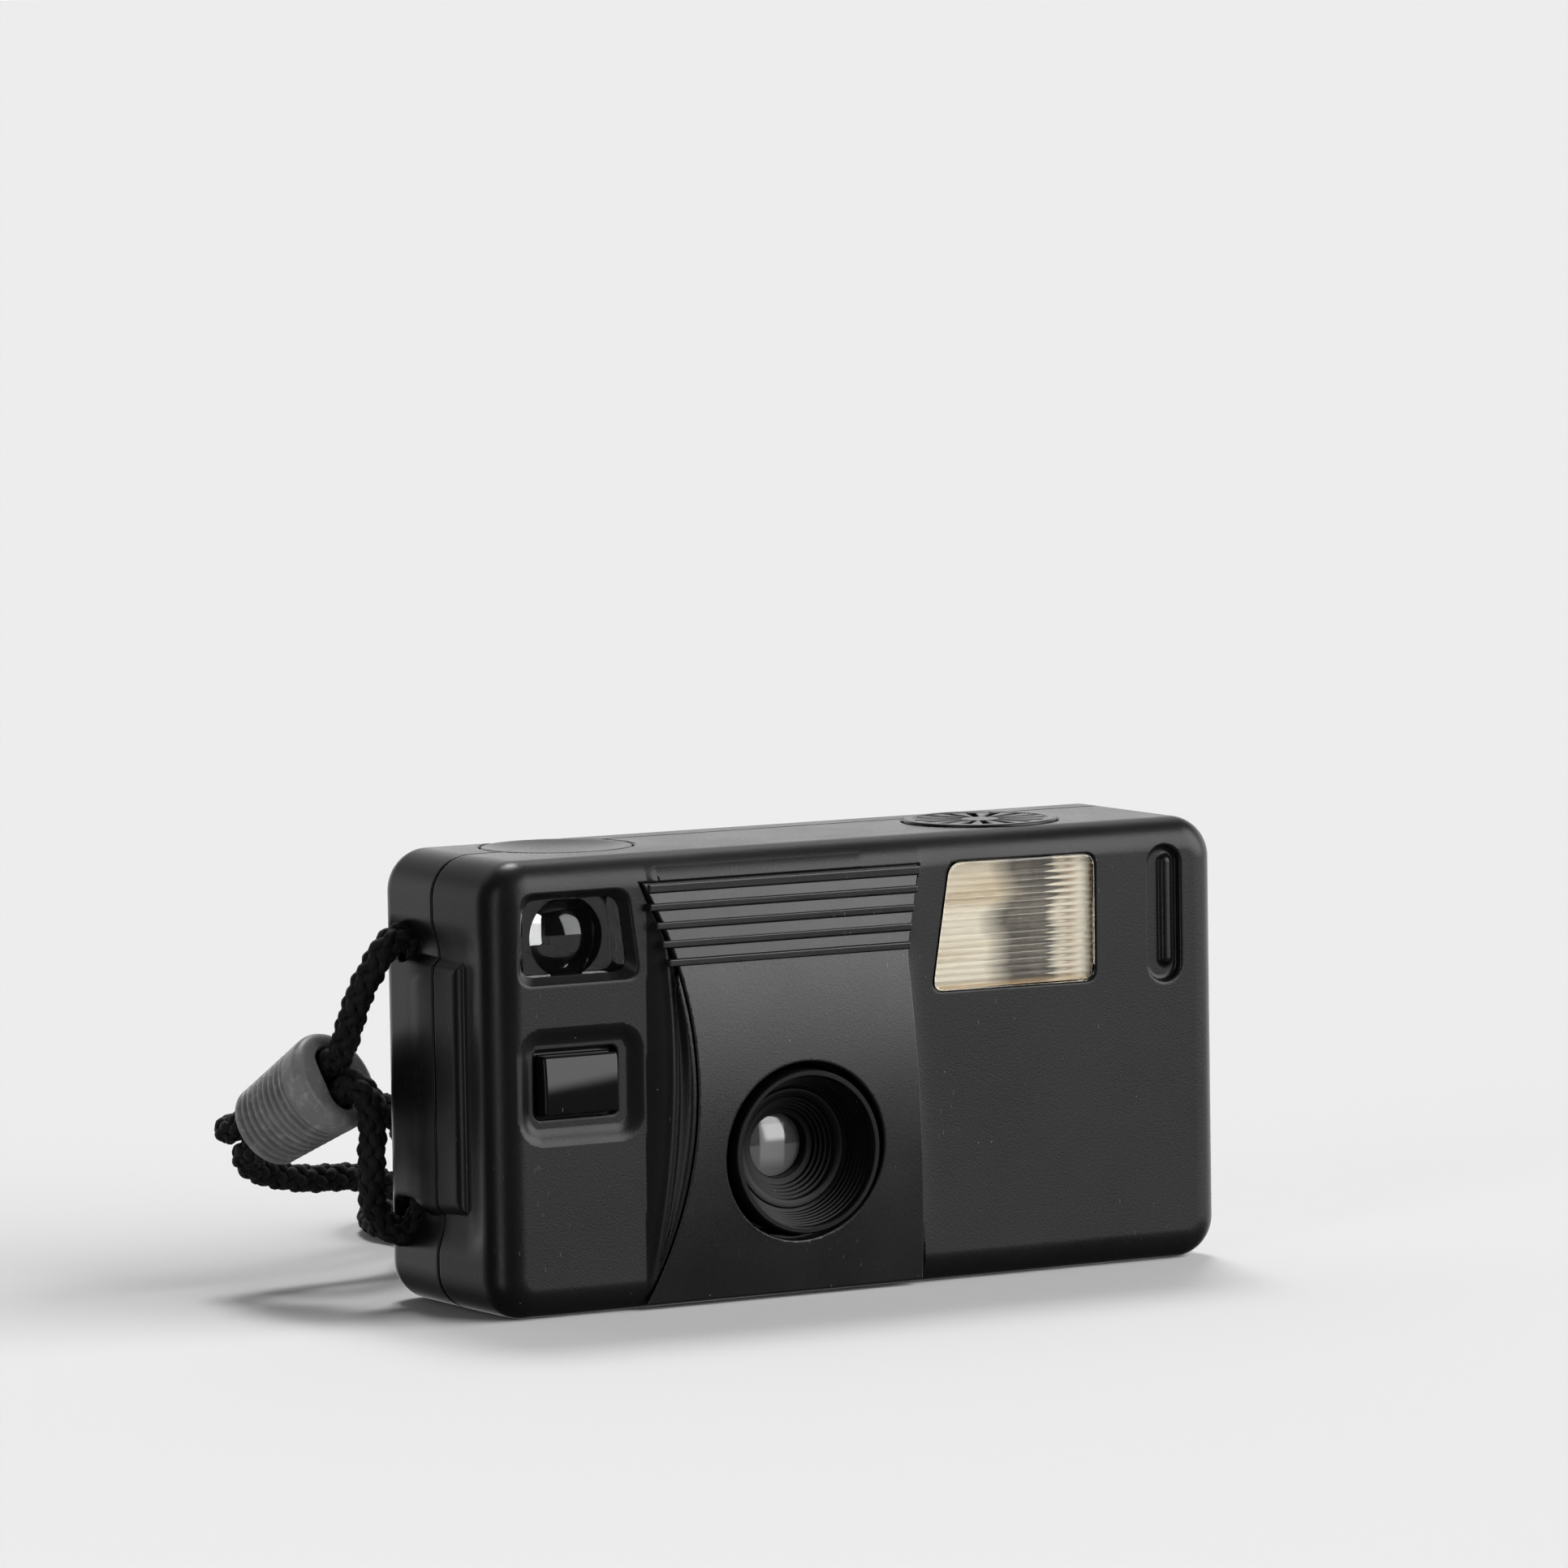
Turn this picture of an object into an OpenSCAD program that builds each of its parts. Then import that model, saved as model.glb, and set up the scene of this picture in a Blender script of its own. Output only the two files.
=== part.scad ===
/* [Body] */
// Width of the camera body
body_w = 110; // [108:1:112]
// Height of the camera body
body_h = 59; // [59:0.5:60]
// Wall thickness of the moulded covers
wall = 1.8; // [1.6:0.1:1.9]
// Radius of the body's corners in front view
corner_r = 5.5; // [5:0.5:6]
// Radius of the edge between the front and the sides
front_edge_r = 4; // [3.5:0.5:4.5]
// Radius of the edge between the back and the sides
rear_edge_r = 3; // [2.5:0.5:3.5]

/* [Lens] */
// Distance of the lens axis to the left of the body's middle
lens_left = 10.2; // [9.8:0.1:10.6]
// Height of the lens axis above the base
lens_z = 19.3; // [19:0.1:19.6]
// Radius of the hole in the lens panel
panel_hole_r = 11.7; // [11.4:0.1:12]
// Outer radius of the lens ring
ring_r = 10.7; // [10.5:0.1:10.9]

/* [Controls] */
// Radius of the shutter button
button_r = 9.9; // [9.7:0.1:10]
// Radius of the film advance dial
dial_r = 10.2; // [9.8:0.1:10.3]
// Number of finger ribs on the dial
dial_ribs = 16; // [12:1:18]
// Teeth on the gear under the dial
dial_teeth = 16; // [16]
// Teeth on the gear that drives the film
drive_teeth = 12; // [12]
// Module of both gears
gear_module = 0.8; // [0.8]

/* [Strap] */
// Diameter of the braided cord
cord_d = 4; // [3.6:0.1:4]
// Diameter of the large end of the cord lock
bead_large_d = 13.5; // [13:0.5:14]
// Diameter of the small end of the cord lock
bead_small_d = 11; // [10.5:0.5:11.5]

/* [Hidden] */

// The body frame has Y = 0 on the front face and Y = body_d on the back, with X = 0 in the middle.
body_d = 30;
front_reach = 3;
half_w = body_w / 2;
lens_x = -lens_left;
small = 0.01;

// The seam between the two covers steps back from the strap side to the rest of the body.
seam_strap_y = 15.3;
seam_y = 23;
seam_step_x = -36;

// Bulge of the lens panel: a cylinder across the front, proud of the face at its middle.
bulge_r = 148;
bulge_z = 30;
bulge = 2.65;
panel_back_y = 1;
arc_r = 60;
arc_x = -86.1;
arc_z = 28;

// Strap tunnel and the hollows above and below it.
tunnel_x = -52;
tunnel_y = 24.2;
tunnel_r = cord_d / 2 + 0.35;
tunnel_low = 13.2;
tunnel_high = 45.8;
tunnel_block_x = -49.3;

// Controls.
button_x = -35;
button_y = 18.5;
stem_x = -31;
stem_y = 13.5;
dial_x = 26.6;
dial_y = 14.4;
gear_distance = gear_module * (dial_teeth + drive_teeth) / 2;
drive_x = 17;
drive_y = dial_y + sqrt(gear_distance * gear_distance - (dial_x - drive_x) * (dial_x - drive_x));
gear_z = 55;
gear_t = 1.7;
flash_button_x = -42.1;
flash_button_z = 30.2;

// Viewfinder.
finder_x = -42;
finder_z = 48.9;

// Flash window.
flash_left = 10.5;
flash_right = 35.5;
flash_low = 38.4;
flash_high = 55.2;

// Film chamber and doors.
chamber_left = -37;
chamber_right = 28;
chamber_low = 4;
chamber_high = 36;
door_left = -38;
door_hinge_x = 31.4;
door_low = 4.8;
door_high = 37.6;
cell_door_left = 37.4;
cell_hinge_x = 52.6;
cell_door_low = 3.6;
cell_door_high = 55.4;
hinge_y = body_d - 0.9;
hinge_r = 0.9;
pin_r = 0.5;
pin_bore_r = 0.56;
gap = 0.2;

// Battery, an upright AA cell.
cell_x = 45.3;
cell_y = 20;
cell_r = 7.1;
cell_low = 4.4;

// Shutter.
blade_x = lens_x - 6.5;
blade_z = lens_z + 10;
lever_x = -23;
lever_z = 38.5;

screw_spots = [[-50.8, 4.9], [-22, 47.5], [35.2, 51.5], [34.9, 5]];

// Cord lock: middle of its large end, and of its small end.
bead_large_at = [-61, 31, 29.5];
bead_small_at = [-65.5, 43, 22];
bead_axis = (bead_small_at - bead_large_at) / norm(bead_small_at - bead_large_at);
bead_length = norm(bead_small_at - bead_large_at);
bead_side_raw = [0, 0, 1] - bead_axis[2] * bead_axis;
bead_side = bead_side_raw / norm(bead_side_raw);
strand_offset = cord_d / 2 + 0.12;

// Route of the cord, from inside the tunnel's top, through the lock, round the loop and back.
route_out = [[-52, 24.2, 34], [-52, 24.2, 39], [-52, 24.2, 43.4], [-52.5, 24.2, 46], [-53.8, 24, 48],
             [-55.6, 23.8, 48], [-57.4, 24, 46.7], [-58.8, 24.6, 44.2], [-60, 25.8, 41.2], [-60.7, 27, 38],
             [-61, 28.4, 35], [-61.1, 30, 32.7]];
route_loop = [[-67, 47.4, 22], [-67.3, 51, 21], [-63.4, 53.5, 21.5], [-57, 52, 23.3], [-50, 50.7, 24.2],
              [-42, 53, 21.3], [-35.2, 61, 13.8], [-30.5, 68, 9.3], [-25.5, 74, 6.2], [-19.5, 80, 3],
              [-11, 85, 2.1], [-6, 92, 2.1], [-14, 98, 2.1], [-25, 92, 2.1], [-29.2, 82.5, 2.1],
              [-29, 74, 2.2], [-31.6, 65.5, 4.4], [-38.5, 56.5, 10], [-47, 53.4, 12.9], [-56, 52.2, 13.6],
              [-63, 51, 15.4], [-66, 48.4, 17.8]];
route_back = [[-60, 28.2, 28.7], [-59.2, 26.3, 27], [-58.9, 25.6, 23.6], [-59, 25.8, 20], [-59, 26, 16.5],
              [-58.7, 26, 13.2], [-57.4, 25.4, 10.6], [-55.4, 24.8, 9.4], [-53.5, 24.3, 10.5],
              [-52.2, 24.2, 13.4], [-52, 24.2, 18], [-52, 24.2, 24]];
upper_in = bead_large_at + strand_offset * bead_side;
upper_out = bead_small_at + strand_offset * bead_side;
lower_in = bead_small_at - strand_offset * bead_side;
lower_out = bead_large_at - strand_offset * bead_side;
route = concat(route_out, [upper_in, upper_out], route_loop, [lower_in, lower_out], route_back);
CORD_SIDES = 8;

// Moves a shape from the body frame into the part's frame: origin at the middle of the base.
module placed() {
  translate([0, -(body_d - front_reach) / 2, 0]) children();
}

// A cylinder from y0 to y1 with its axis along Y.
module y_rod(x, z, r, y0, y1, fn = 48) {
  translate([x, y0, z]) rotate([-90, 0, 0]) cylinder(r = r, h = y1 - y0, $fn = fn);
}

// A box from one corner to the other.
module box(low, high) {
  translate(low) cube(high - low);
}

// The closed outer form of the body, with every face moved in by inset.
module body_form(inset) {
  hull() {
    for (sx = [-1, 1], z = [corner_r, body_h - corner_r]) {
      translate([sx * (half_w - corner_r), front_edge_r, z]) rotate([-90, 0, 0])
        rounded_disc(corner_r - inset, front_edge_r - inset);
      translate([sx * (half_w - corner_r), body_d - rear_edge_r, z]) rotate([90, 0, 0])
        rounded_disc(corner_r - inset, rear_edge_r - inset);
    }
  }
}

function arc(x, y, r, a0, a1, n) =
  [for (k = [0:n]) let (a = a0 + (a1 - a0) * k / n) [x + r * cos(a), y + r * sin(a)]];

// A disc of radius r whose lower rim is rounded by edge; its round end points along -Z.
module rounded_disc(r, edge) {
  rotate_extrude($fn = 32) polygon(concat([[0, 0]], arc(r - edge, 0, edge, 0, -90, 8), [[0, -edge]]));
}

// Space in front of the seam, or behind it.
module before_seam() {
  box([-80, -20, -20], [seam_step_x, seam_strap_y, 90]);
  box([seam_step_x - small, -20, -20], [80, seam_y, 90]);
}
module behind_seam() {
  box([-80, seam_strap_y, -20], [seam_step_x, 60, 90]);
  box([seam_step_x - small, seam_y, -20], [80, 60, 90]);
}

// Solid moulding behind the strap tunnel.
module tunnel_block() {
  box([-half_w + 0.6, 8, 8], [tunnel_block_x, 26.9, 51.2]);
}

// The tunnel's bore and the hollows where the cord leaves it.
module tunnel_cut() {
  translate([tunnel_x, tunnel_y, tunnel_low - 2])
    cylinder(r = tunnel_r, h = tunnel_high - tunnel_low + 4, $fn = 48);
  scoop(tunnel_high, 5.2, 1);
  scoop(tunnel_low, 5.8, -1);
}

// A long round hollow beyond one end of the tunnel.
module scoop(z, r, side) {
  intersection() {
    hull() {
      translate([-56.2, 12.5, z]) sphere(r = r, $fn = 32);
      translate([-56.2, 24.5, z]) sphere(r = r, $fn = 32);
    }
    translate([-70, 0, side > 0 ? z : z - 10]) cube([30, 40, 10]);
  }
}

module screw_holes(r, y0, y1) {
  for (s = screw_spots) y_rod(s[0], s[1], r, y0, y1, 32);
}

module front_cover() {
  color([0.1, 0.1, 0.105]) placed() difference() {
    body_form(0);
    difference() {
      body_form(wall);
      tunnel_block();
      screw_posts();
    }
    behind_seam();
    tunnel_cut();
    // Pocket and hole for the lens panel and the lens.
    intersection() {
      translate([0, panel_back_y, 0]) rotate([90, 0, 0]) linear_extrude(10) panel_outline(0.15);
      box([-80, -10, 0.8], [80, panel_back_y, 55.6]);
    }
    y_rod(lens_x, lens_z, panel_hole_r - 0.4, -5, 5, 96);
    // Viewfinder recess, flash window and flash button.
    finder_opening(0.1, -5, 5);
    flash_opening(0.1, -5, 5);
    box([-48.3, -5, 25.8], [-36.1, 5, 34.7]);
    box([-51, -5, 22.6], [-32.8, 0.7, 37.6]);
    // Upright moulded hollow near the right end.
    translate([46.3, 0, 46.5]) hull() {
      translate([0, 0, 6.6]) rotate([-90, 0, 0]) cylinder(r = 2.4, h = 1.1, $fn = 32);
      translate([0, 0, -6.6]) rotate([-90, 0, 0]) cylinder(r = 2.4, h = 1.1, $fn = 32);
    }
    // Openings in the top for the shutter button and the dial's spindle.
    translate([button_x, button_y, body_h - 6]) cylinder(r = button_r + gap, h = 10, $fn = 96);
    translate([dial_x, dial_y, body_h - 6]) cylinder(r = 2.1, h = 10, $fn = 48);
    translate([dial_x, dial_y, body_h - 0.6]) cylinder(r = dial_r + gap, h = 10, $fn = 96);
    screw_holes(0.7, 14, 30);
  }
}

// Posts inside the front cover that the screws go into.
module screw_posts() {
  for (s = screw_spots) y_rod(s[0], s[1], 1.7, s[0] < seam_step_x ? 8 : 16.5, 30, 32);
  box([34.2, 16.5, 51.5], [36.4, 30, 60]);
  box([33.2, 16.5, -1], [36.6, 30, 5]);
  box([-53, 8, 4], [-50.8, 30, 5.8]);
  box([-23.7, 16.5, 47.5], [-20.3, 30, 60]);
}

module finder_opening(grow, y0, y1) {
  translate([0, y1, 0]) rotate([90, 0, 0]) linear_extrude(y1 - y0)
    polygon([[-50.3 - grow, 43.1 - grow], [-33 + grow, 43.1 - grow], [-34.4 + grow, 54.9 + grow],
             [-50.3 - grow, 54.9 + grow]]);
}

module flash_opening(grow, y0, y1) {
  translate([0, y1, 0]) rotate([90, 0, 0]) linear_extrude(y1 - y0)
    polygon([[flash_left - grow, flash_low - grow], [flash_right + grow, flash_low - grow],
             [flash_right + grow, flash_high + grow], [flash_left + 2.8 - grow, flash_high + grow]]);
}

module rear_cover() {
  color([0.12, 0.12, 0.125]) placed() difference() {
    union() {
      difference() {
        body_form(0);
        difference() {
          body_form(wall);
          tunnel_block();
        }
      }
      for (s = screw_spots) y_rod(s[0], s[1], 2, seam_y + 1.4, body_d - 1, 32);
    }
    before_seam();
    tunnel_cut();
    // Room for the posts of the front cover.
    screw_holes(1.9, 0, seam_y + 1.4);
    translate([button_x, button_y, body_h - 6]) cylinder(r = button_r + gap, h = 10, $fn = 96);
    translate([dial_x, dial_y, body_h - 6]) cylinder(r = dial_r + gap, h = 10, $fn = 96);
    // Doorways for the film door and the battery door.
    box([door_left - gap, 25, door_low - gap], [door_hinge_x + hinge_r + gap, 35, door_high + gap]);
    box([cell_door_left - gap, 25, cell_door_low - gap], [cell_hinge_x + hinge_r + gap, 35, cell_door_high + gap]);
    hinge_bore(door_hinge_x, door_low, door_high);
    hinge_bore(cell_hinge_x, cell_door_low, cell_door_high);
    // Eyepiece window.
    box([finder_x - 4.6, 25, finder_z - 5.1], [finder_x + 4.6, 35, finder_z + 5.1]);
    screw_holes(0.9, 20, 40);
    screw_holes(1.7, body_d - 1, 40);
  }
}

module hinge_bore(x, z0, z1) {
  translate([x, hinge_y, z0 - 1.8]) cylinder(r = pin_bore_r, h = z1 - z0 + 3.6, $fn = 32);
}

// Front view outline of the lens panel: an arc on the left, flaring at the top.
module panel_outline(grow) {
  difference() {
    polygon([[-33, 0.6 - grow], [8.6 + grow, 0.6 - grow], [5.7 + grow, 44.4], [8.3 + grow, 55.4 + grow],
             [-32.2 - grow, 55.4 + grow], [-28.6 - grow, 45]]);
    translate([arc_x, arc_z]) circle(r = arc_r - grow, $fn = 360);
  }
}

module lens_panel() {
  color([0.11, 0.11, 0.115]) placed() difference() {
    intersection() {
      translate([0, panel_back_y, 0]) rotate([90, 0, 0]) linear_extrude(8) panel_outline(0);
      translate([0, bulge_r - bulge, bulge_z]) rotate([0, 90, 0]) cylinder(r = bulge_r, h = 200, center = true, $fn = 720);
    }
    y_rod(lens_x, lens_z, panel_hole_r, -8, 5, 96);
    // Slots between the five ribs across the top.
    for (k = [0:3]) box([-40, -6, 46 + 2.43 * k], [20, -bulge_at(46.7 + 2.43 * k) + 0.5, 47.4 + 2.43 * k]);
  }
}

function bulge_at(z) = bulge - (z - bulge_z) * (z - bulge_z) / (2 * bulge_r);

// Stepped funnel profile points from one radius and depth to another.
function steps(r0, y0, r1, y1, n) = [for (k = [0:n - 1]) each [
  [r0 + (r1 - r0) * k / n, y0 + (y1 - y0) * k / n],
  [r0 + (r1 - r0) * k / n, y0 + (y1 - y0) * (k + 1) / n]]];

// Turns an outline of [radius, y] points about the lens axis.
module turned(points) {
  translate([lens_x, 0, lens_z]) rotate([-90, 0, 0]) rotate_extrude($fn = 96)
    polygon([for (p = points) [p[0], p[1]]]);
}

module lens_ring() {
  color([0.07, 0.07, 0.07]) placed() turned(concat(
    [[ring_r, 3], [ring_r, -2.7], [ring_r - 0.3, -3], [ring_r - 0.8, -3]],
    steps(ring_r - 1.2, -2.4, 8, 1.6, 7), [[7.9, 3]]));
}

module lens_barrel() {
  color([0.07, 0.07, 0.07]) placed() turned(concat(
    [[7.85, 7.2], [7.85, 1.7], [7, 1.7]], steps(6.8, 2, 4.9, 5.2, 5), [[4.5, 5.3], [4.5, 5.8], [5.3, 5.8], [5.3, 7.2]]));
}

module front_lens() {
  color([0.6, 0.7, 0.75]) placed() translate([lens_x, 0, lens_z]) rotate([-90, 0, 0]) rotate_extrude($fn = 64)
    intersection() {
      polygon([[0, 5], [5.2, 5], [5.2, 7.1], [0, 7.1]]);
      translate([0, 5.8 + 12]) circle(r = 12.6, $fn = 180);
    }
}

module rear_lens() {
  color([0.6, 0.7, 0.75]) placed() y_rod(lens_x, lens_z, 4.2, 7.6, 8.6, 64);
}

module shutter_plate() {
  color([0.25, 0.25, 0.26]) placed() difference() {
    union() {
      box([lens_x - 14, 9.2, 8], [lens_x + 10, 10.2, 34]);
      y_rod(lens_x, lens_z, 7.8, 7.3, 9.3, 64);
    }
    y_rod(lens_x, lens_z, 4.25, 7, 9.2, 64);
    y_rod(lens_x, lens_z, 1.6, 9, 11, 32);
    y_rod(blade_x, blade_z, 0.8, 9, 11, 32);
  }
}

module blade_pin() {
  color("silver") placed() y_rod(blade_x, blade_z, 0.8, 9.2, 12.1, 32);
}

module shutter_blade() {
  color([0.3, 0.3, 0.32]) placed() difference() {
    union() {
      hull() {
        y_rod(blade_x, blade_z, 1.8, 10.6, 11, 32);
        y_rod(lens_x, lens_z, 3, 10.6, 11, 32);
      }
      box([blade_x - 1.5, 10.6, blade_z], [blade_x - 0.1, 11, blade_z + 3]);
      y_rod(blade_x - 0.7, blade_z + 2.2, 0.4, 10.8, 12.5, 24);
    }
    y_rod(blade_x, blade_z, 0.86, 10, 12, 32);
  }
}

module lever_pin() {
  color("silver") placed() union() {
    y_rod(lever_x, lever_z, 0.8, 11.2, 14, 32);
    y_rod(lever_x, lever_z, 1.3, 10.6, 11.2, 32);
  }
}

module release_lever() {
  color([0.75, 0.72, 0.6]) placed() difference() {
    union() {
      y_rod(lever_x, lever_z, 2, 11.7, 12.7, 48);
      box([stem_x - 1.4, 11.7, lever_z - 0.2], [lever_x, 12.7, lever_z + 1.4]);
      box([lever_x - 0.8, 11.7, lever_z - 8.5], [lever_x + 0.8, 12.7, lever_z]);
      box([lever_x - 0.8, 11.7, lever_z - 8.5], [blade_x - 1.2, 12.7, lever_z - 6.3]);
      box([stem_x - 1.4, 12.6, lever_z + 0.7], [stem_x + 1.4, 15, lever_z + 1.4]);
    }
    y_rod(lever_x, lever_z, 0.86, 10, 15, 32);
  }
}

module shutter_button() {
  color([0.12, 0.12, 0.12]) placed() union() {
    difference() {
      translate([button_x, button_y, body_h - 3.4]) cylinder(r = button_r, h = 3.4, $fn = 96);
      translate([button_x, button_y, body_h + 79.2]) sphere(r = 80, $fn = 360);
      translate([button_x, button_y, body_h - 3.5]) cylinder(r = button_r - 1.2, h = 2, $fn = 96);
    }
    translate([stem_x, stem_y, lever_z + 1.6]) cylinder(r = 1.3, h = body_h - lever_z - 2.9, $fn = 32);
  }
}

module button_spring() {
  color("silver") placed() difference() {
    translate([stem_x, stem_y, 50.2]) cylinder(r = 2.2, h = 7.25, $fn = 32);
    translate([stem_x, stem_y, 50]) cylinder(r = 1.6, h = 8, $fn = 32);
  }
}

module flash_button() {
  color([0.05, 0.05, 0.06]) placed() union() {
    box([flash_button_x - 5.45, -0.8, flash_button_z - 3.8], [flash_button_x + 5.45, 2.8, flash_button_z + 3.8]);
    box([flash_button_x - 6.8, 2.1, flash_button_z - 5.2], [flash_button_x + 6.8, 3, flash_button_z + 5.2]);
  }
}

module flash_contact() {
  color("gold") placed() union() {
    box([-44, 4.1, 26], [-40, 4.4, 34]);
    box([-44, 4.4, 26], [-40, 6.2, 27.2]);
    box([-44.5, 6.2, 24], [-39.5, 6.9, 36]);
  }
}

module viewfinder_window() {
  color([0.7, 0.78, 0.8]) placed() difference() {
    translate([0, 4.4, 0]) rotate([90, 0, 0]) linear_extrude(2.8)
      polygon([[-49.2, 44], [-34.2, 44], [-35.4, 53.9], [-49.2, 53.9]]);
    translate([finder_x, 12.9, finder_z - 0.1]) sphere(r = 10, $fn = 180);
  }
}

module viewfinder_tube() {
  color([0.08, 0.08, 0.08]) placed() difference() {
    box([-49.2, 4.6, finder_z - 5.6], [-34.6, 28, finder_z + 5.3]);
    box([-48.2, 4, finder_z - 4.7], [-35.6, 29, finder_z + 4.7]);
    screw_holes(2.2, 0, 40);
  }
}

module viewfinder_eyepiece() {
  color([0.7, 0.78, 0.8]) placed() box([finder_x - 4.5, 28.2, finder_z - 5], [finder_x + 4.5, 29.6, finder_z + 5]);
}

module flash_window() {
  color([0.9, 0.8, 0.6]) placed() union() {
    flash_opening(-0.05, -0.1, 1.9);
    box([flash_left - 1, 1.9, flash_low - 1], [flash_right + 1, 2.5, flash_high + 0.3]);
  }
}

module flash_reflector() {
  color("silver") placed() difference() {
    box([flash_left - 0.4, 2.6, flash_low + 0.4], [flash_right - 1.2, 11.4, flash_high - 0.4]);
    // Curved trough that opens to the front.
    translate([flash_left + 0.4, 2, 0]) intersection() {
      translate([0, 0.6, (flash_low + flash_high) / 2]) rotate([0, 90, 0])
        cylinder(r = 7.6, h = flash_right - flash_left - 2.4, $fn = 96);
      box([-1, -3, 0], [40, 12, 80]);
    }
    box([flash_left - 2, 6.9, 45.2], [flash_right, 9.2, 48.4]);
  }
}

module flash_tube() {
  color([0.9, 0.92, 0.95]) placed() translate([flash_left - 1.2, 8.05, 46.8]) rotate([0, 90, 0])
    cylinder(r = 1.1, h = flash_right - flash_left, $fn = 32);
}

module flash_board() {
  color([0.15, 0.35, 0.2]) placed() difference() {
    box([5, 13, 4], [34, 14, 36]);
    y_rod(8, 8, 1, 12, 15, 24);
    y_rod(8, 32, 1, 12, 15, 24);
  }
}

module flash_capacitor() {
  color([0.12, 0.14, 0.2]) placed() translate([6, 7.6, 9]) rotate([0, 90, 0]) cylinder(r = 5, h = 27, $fn = 64);
}

module trigger_coil() {
  color([0.75, 0.65, 0.3]) placed() translate([14, 9, 25]) rotate([0, 90, 0]) cylinder(r = 3.6, h = 11, $fn = 48);
}

module top_dial() {
  color([0.16, 0.16, 0.16]) placed() difference() {
    union() {
      translate([dial_x, dial_y, body_h - 0.3]) cylinder(r = dial_r, h = 1.4, $fn = 96);
      translate([dial_x, dial_y, gear_z + gear_t]) cylinder(r = 2, h = 3, $fn = 48);
      translate([dial_x, dial_y, 53]) cylinder(r = 1.2, h = 4, $fn = 48);
    }
    difference() {
      translate([dial_x, dial_y, body_h + 0.5]) cylinder(r = dial_r - 0.9, h = 2, $fn = 96);
      for (k = [0:dial_ribs - 1]) translate([dial_x, dial_y, body_h]) rotate([0, 0, k * 360 / dial_ribs])
        box([2.6, -0.35, 0], [dial_r, 0.35, 0.95]);
    }
  }
}

// A spur gear with straight-sided teeth; the first tooth, or the first space, points along +X.
module gear(teeth, first_is_space, bore_r) {
  pitch_r = gear_module * teeth / 2;
  tooth = 360 / teeth;
  turn = first_is_space ? tooth / 2 : 0;
  difference() {
    linear_extrude(gear_t) union() {
      circle(r = pitch_r - 0.9, $fn = 96);
      for (k = [0:teeth - 1]) rotate(k * tooth + turn)
        polygon([[pitch_r - 1.2, -0.78], [pitch_r, -0.5], [pitch_r + 0.55, -0.24],
                 [pitch_r + 0.55, 0.24], [pitch_r, 0.5], [pitch_r - 1.2, 0.78]]);
    }
    translate([0, 0, -1]) cylinder(r = bore_r, h = gear_t + 2, $fn = 48);
  }
}

// Direction from the dial to the film drive gear.
mesh_angle = atan2(drive_y - dial_y, drive_x - dial_x);

module dial_gear() {
  color([0.85, 0.82, 0.7]) placed() translate([dial_x, dial_y, gear_z]) rotate([0, 0, mesh_angle])
    gear(dial_teeth, false, 1.21);
}

module drive_gear() {
  color([0.85, 0.82, 0.7]) placed() union() {
    translate([drive_x, drive_y, gear_z]) rotate([0, 0, mesh_angle + 180]) gear(drive_teeth, true, 1);
    translate([drive_x, drive_y, 34]) cylinder(r = 1.2, h = gear_z + gear_t - 34, $fn = 48);
    translate([drive_x - 2, drive_y - 0.5, 34]) cube([4, 1, 1.6]);
  }
}

module ratchet_spring() {
  color("silver") placed() union() {
    box([31, 24.6, gear_z], [36, 25, gear_z + 1.6]);
    box([35.6, 24.6, gear_z], [36, 27, gear_z + 1.6]);
    box([31, 20, gear_z], [31.4, 25, gear_z + 1.6]);
  }
}

module chassis() {
  color([0.2, 0.2, 0.2]) placed() difference() {
    union() {
      box([chamber_left - 1.4, 15, 2], [chamber_right + 1.4, 16.4, 38]);
      box([chamber_left - 1.4, 15, chamber_high], [chamber_right + 1.4, 27.8, chamber_high + 1.4]);
      box([chamber_left - 1.4, 15, 2], [chamber_right + 1.4, 27, chamber_low - 0.6]);
      box([chamber_right, 15, 2], [chamber_right + 1.4, 27, 38]);
      box([-19.8, 10.3, 33.4], [-18.4, 15.2, 38]);
      box([-22.6, 14, 34], [-18.4, 15.2, 40]);
      box([-25, 14, 36], [-21, 15.2, 40]);
      box([stem_x - 3, 11, 49.4], [stem_x + 3, 16, 50.2]);
      box([stem_x - 3, 15, 37], [stem_x + 3, 16, 50.2]);
      // Shelf that carries the end of the dial's spindle and the drive shaft.
      box([drive_x - 4, 12, 52.2], [dial_x + 4, 24.6, 53.6]);
      box([drive_x - 4, 23.2, 37], [dial_x + 4, 24.6, 53.6]);
    }
    // Film gate.
    box([lens_x - 8.5, 14, lens_z - 6.5], [lens_x + 8.5, 17, lens_z + 6.5]);
    translate([dial_x, dial_y, 50]) cylinder(r = 1.26, h = 6, $fn = 48);
    translate([drive_x, drive_y, 30]) cylinder(r = 1.26, h = 26, $fn = 48);
    translate([stem_x, stem_y, 45]) cylinder(r = 1.4, h = 8, $fn = 48);
    y_rod(lever_x, lever_z, 0.8, 13, 14, 32);
  }
}

// A flat door with a round knuckle along its hinge edge.
module door_plate(left, hinge_x, low, high) {
  box([left, body_d - wall, low], [hinge_x, body_d, high]);
  translate([hinge_x, hinge_y, low]) cylinder(r = hinge_r, h = high - low, $fn = 48);
}

module film_door() {
  color([0.12, 0.12, 0.125]) placed() difference() {
    door_plate(door_left, door_hinge_x, door_low, door_high);
    translate([door_hinge_x, hinge_y, door_low - 1]) cylinder(r = pin_r, h = door_high - door_low + 2, $fn = 32);
    box([door_left + 1.5, 27, 17], [door_left + 6.8, 35, 24]);
  }
}

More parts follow.
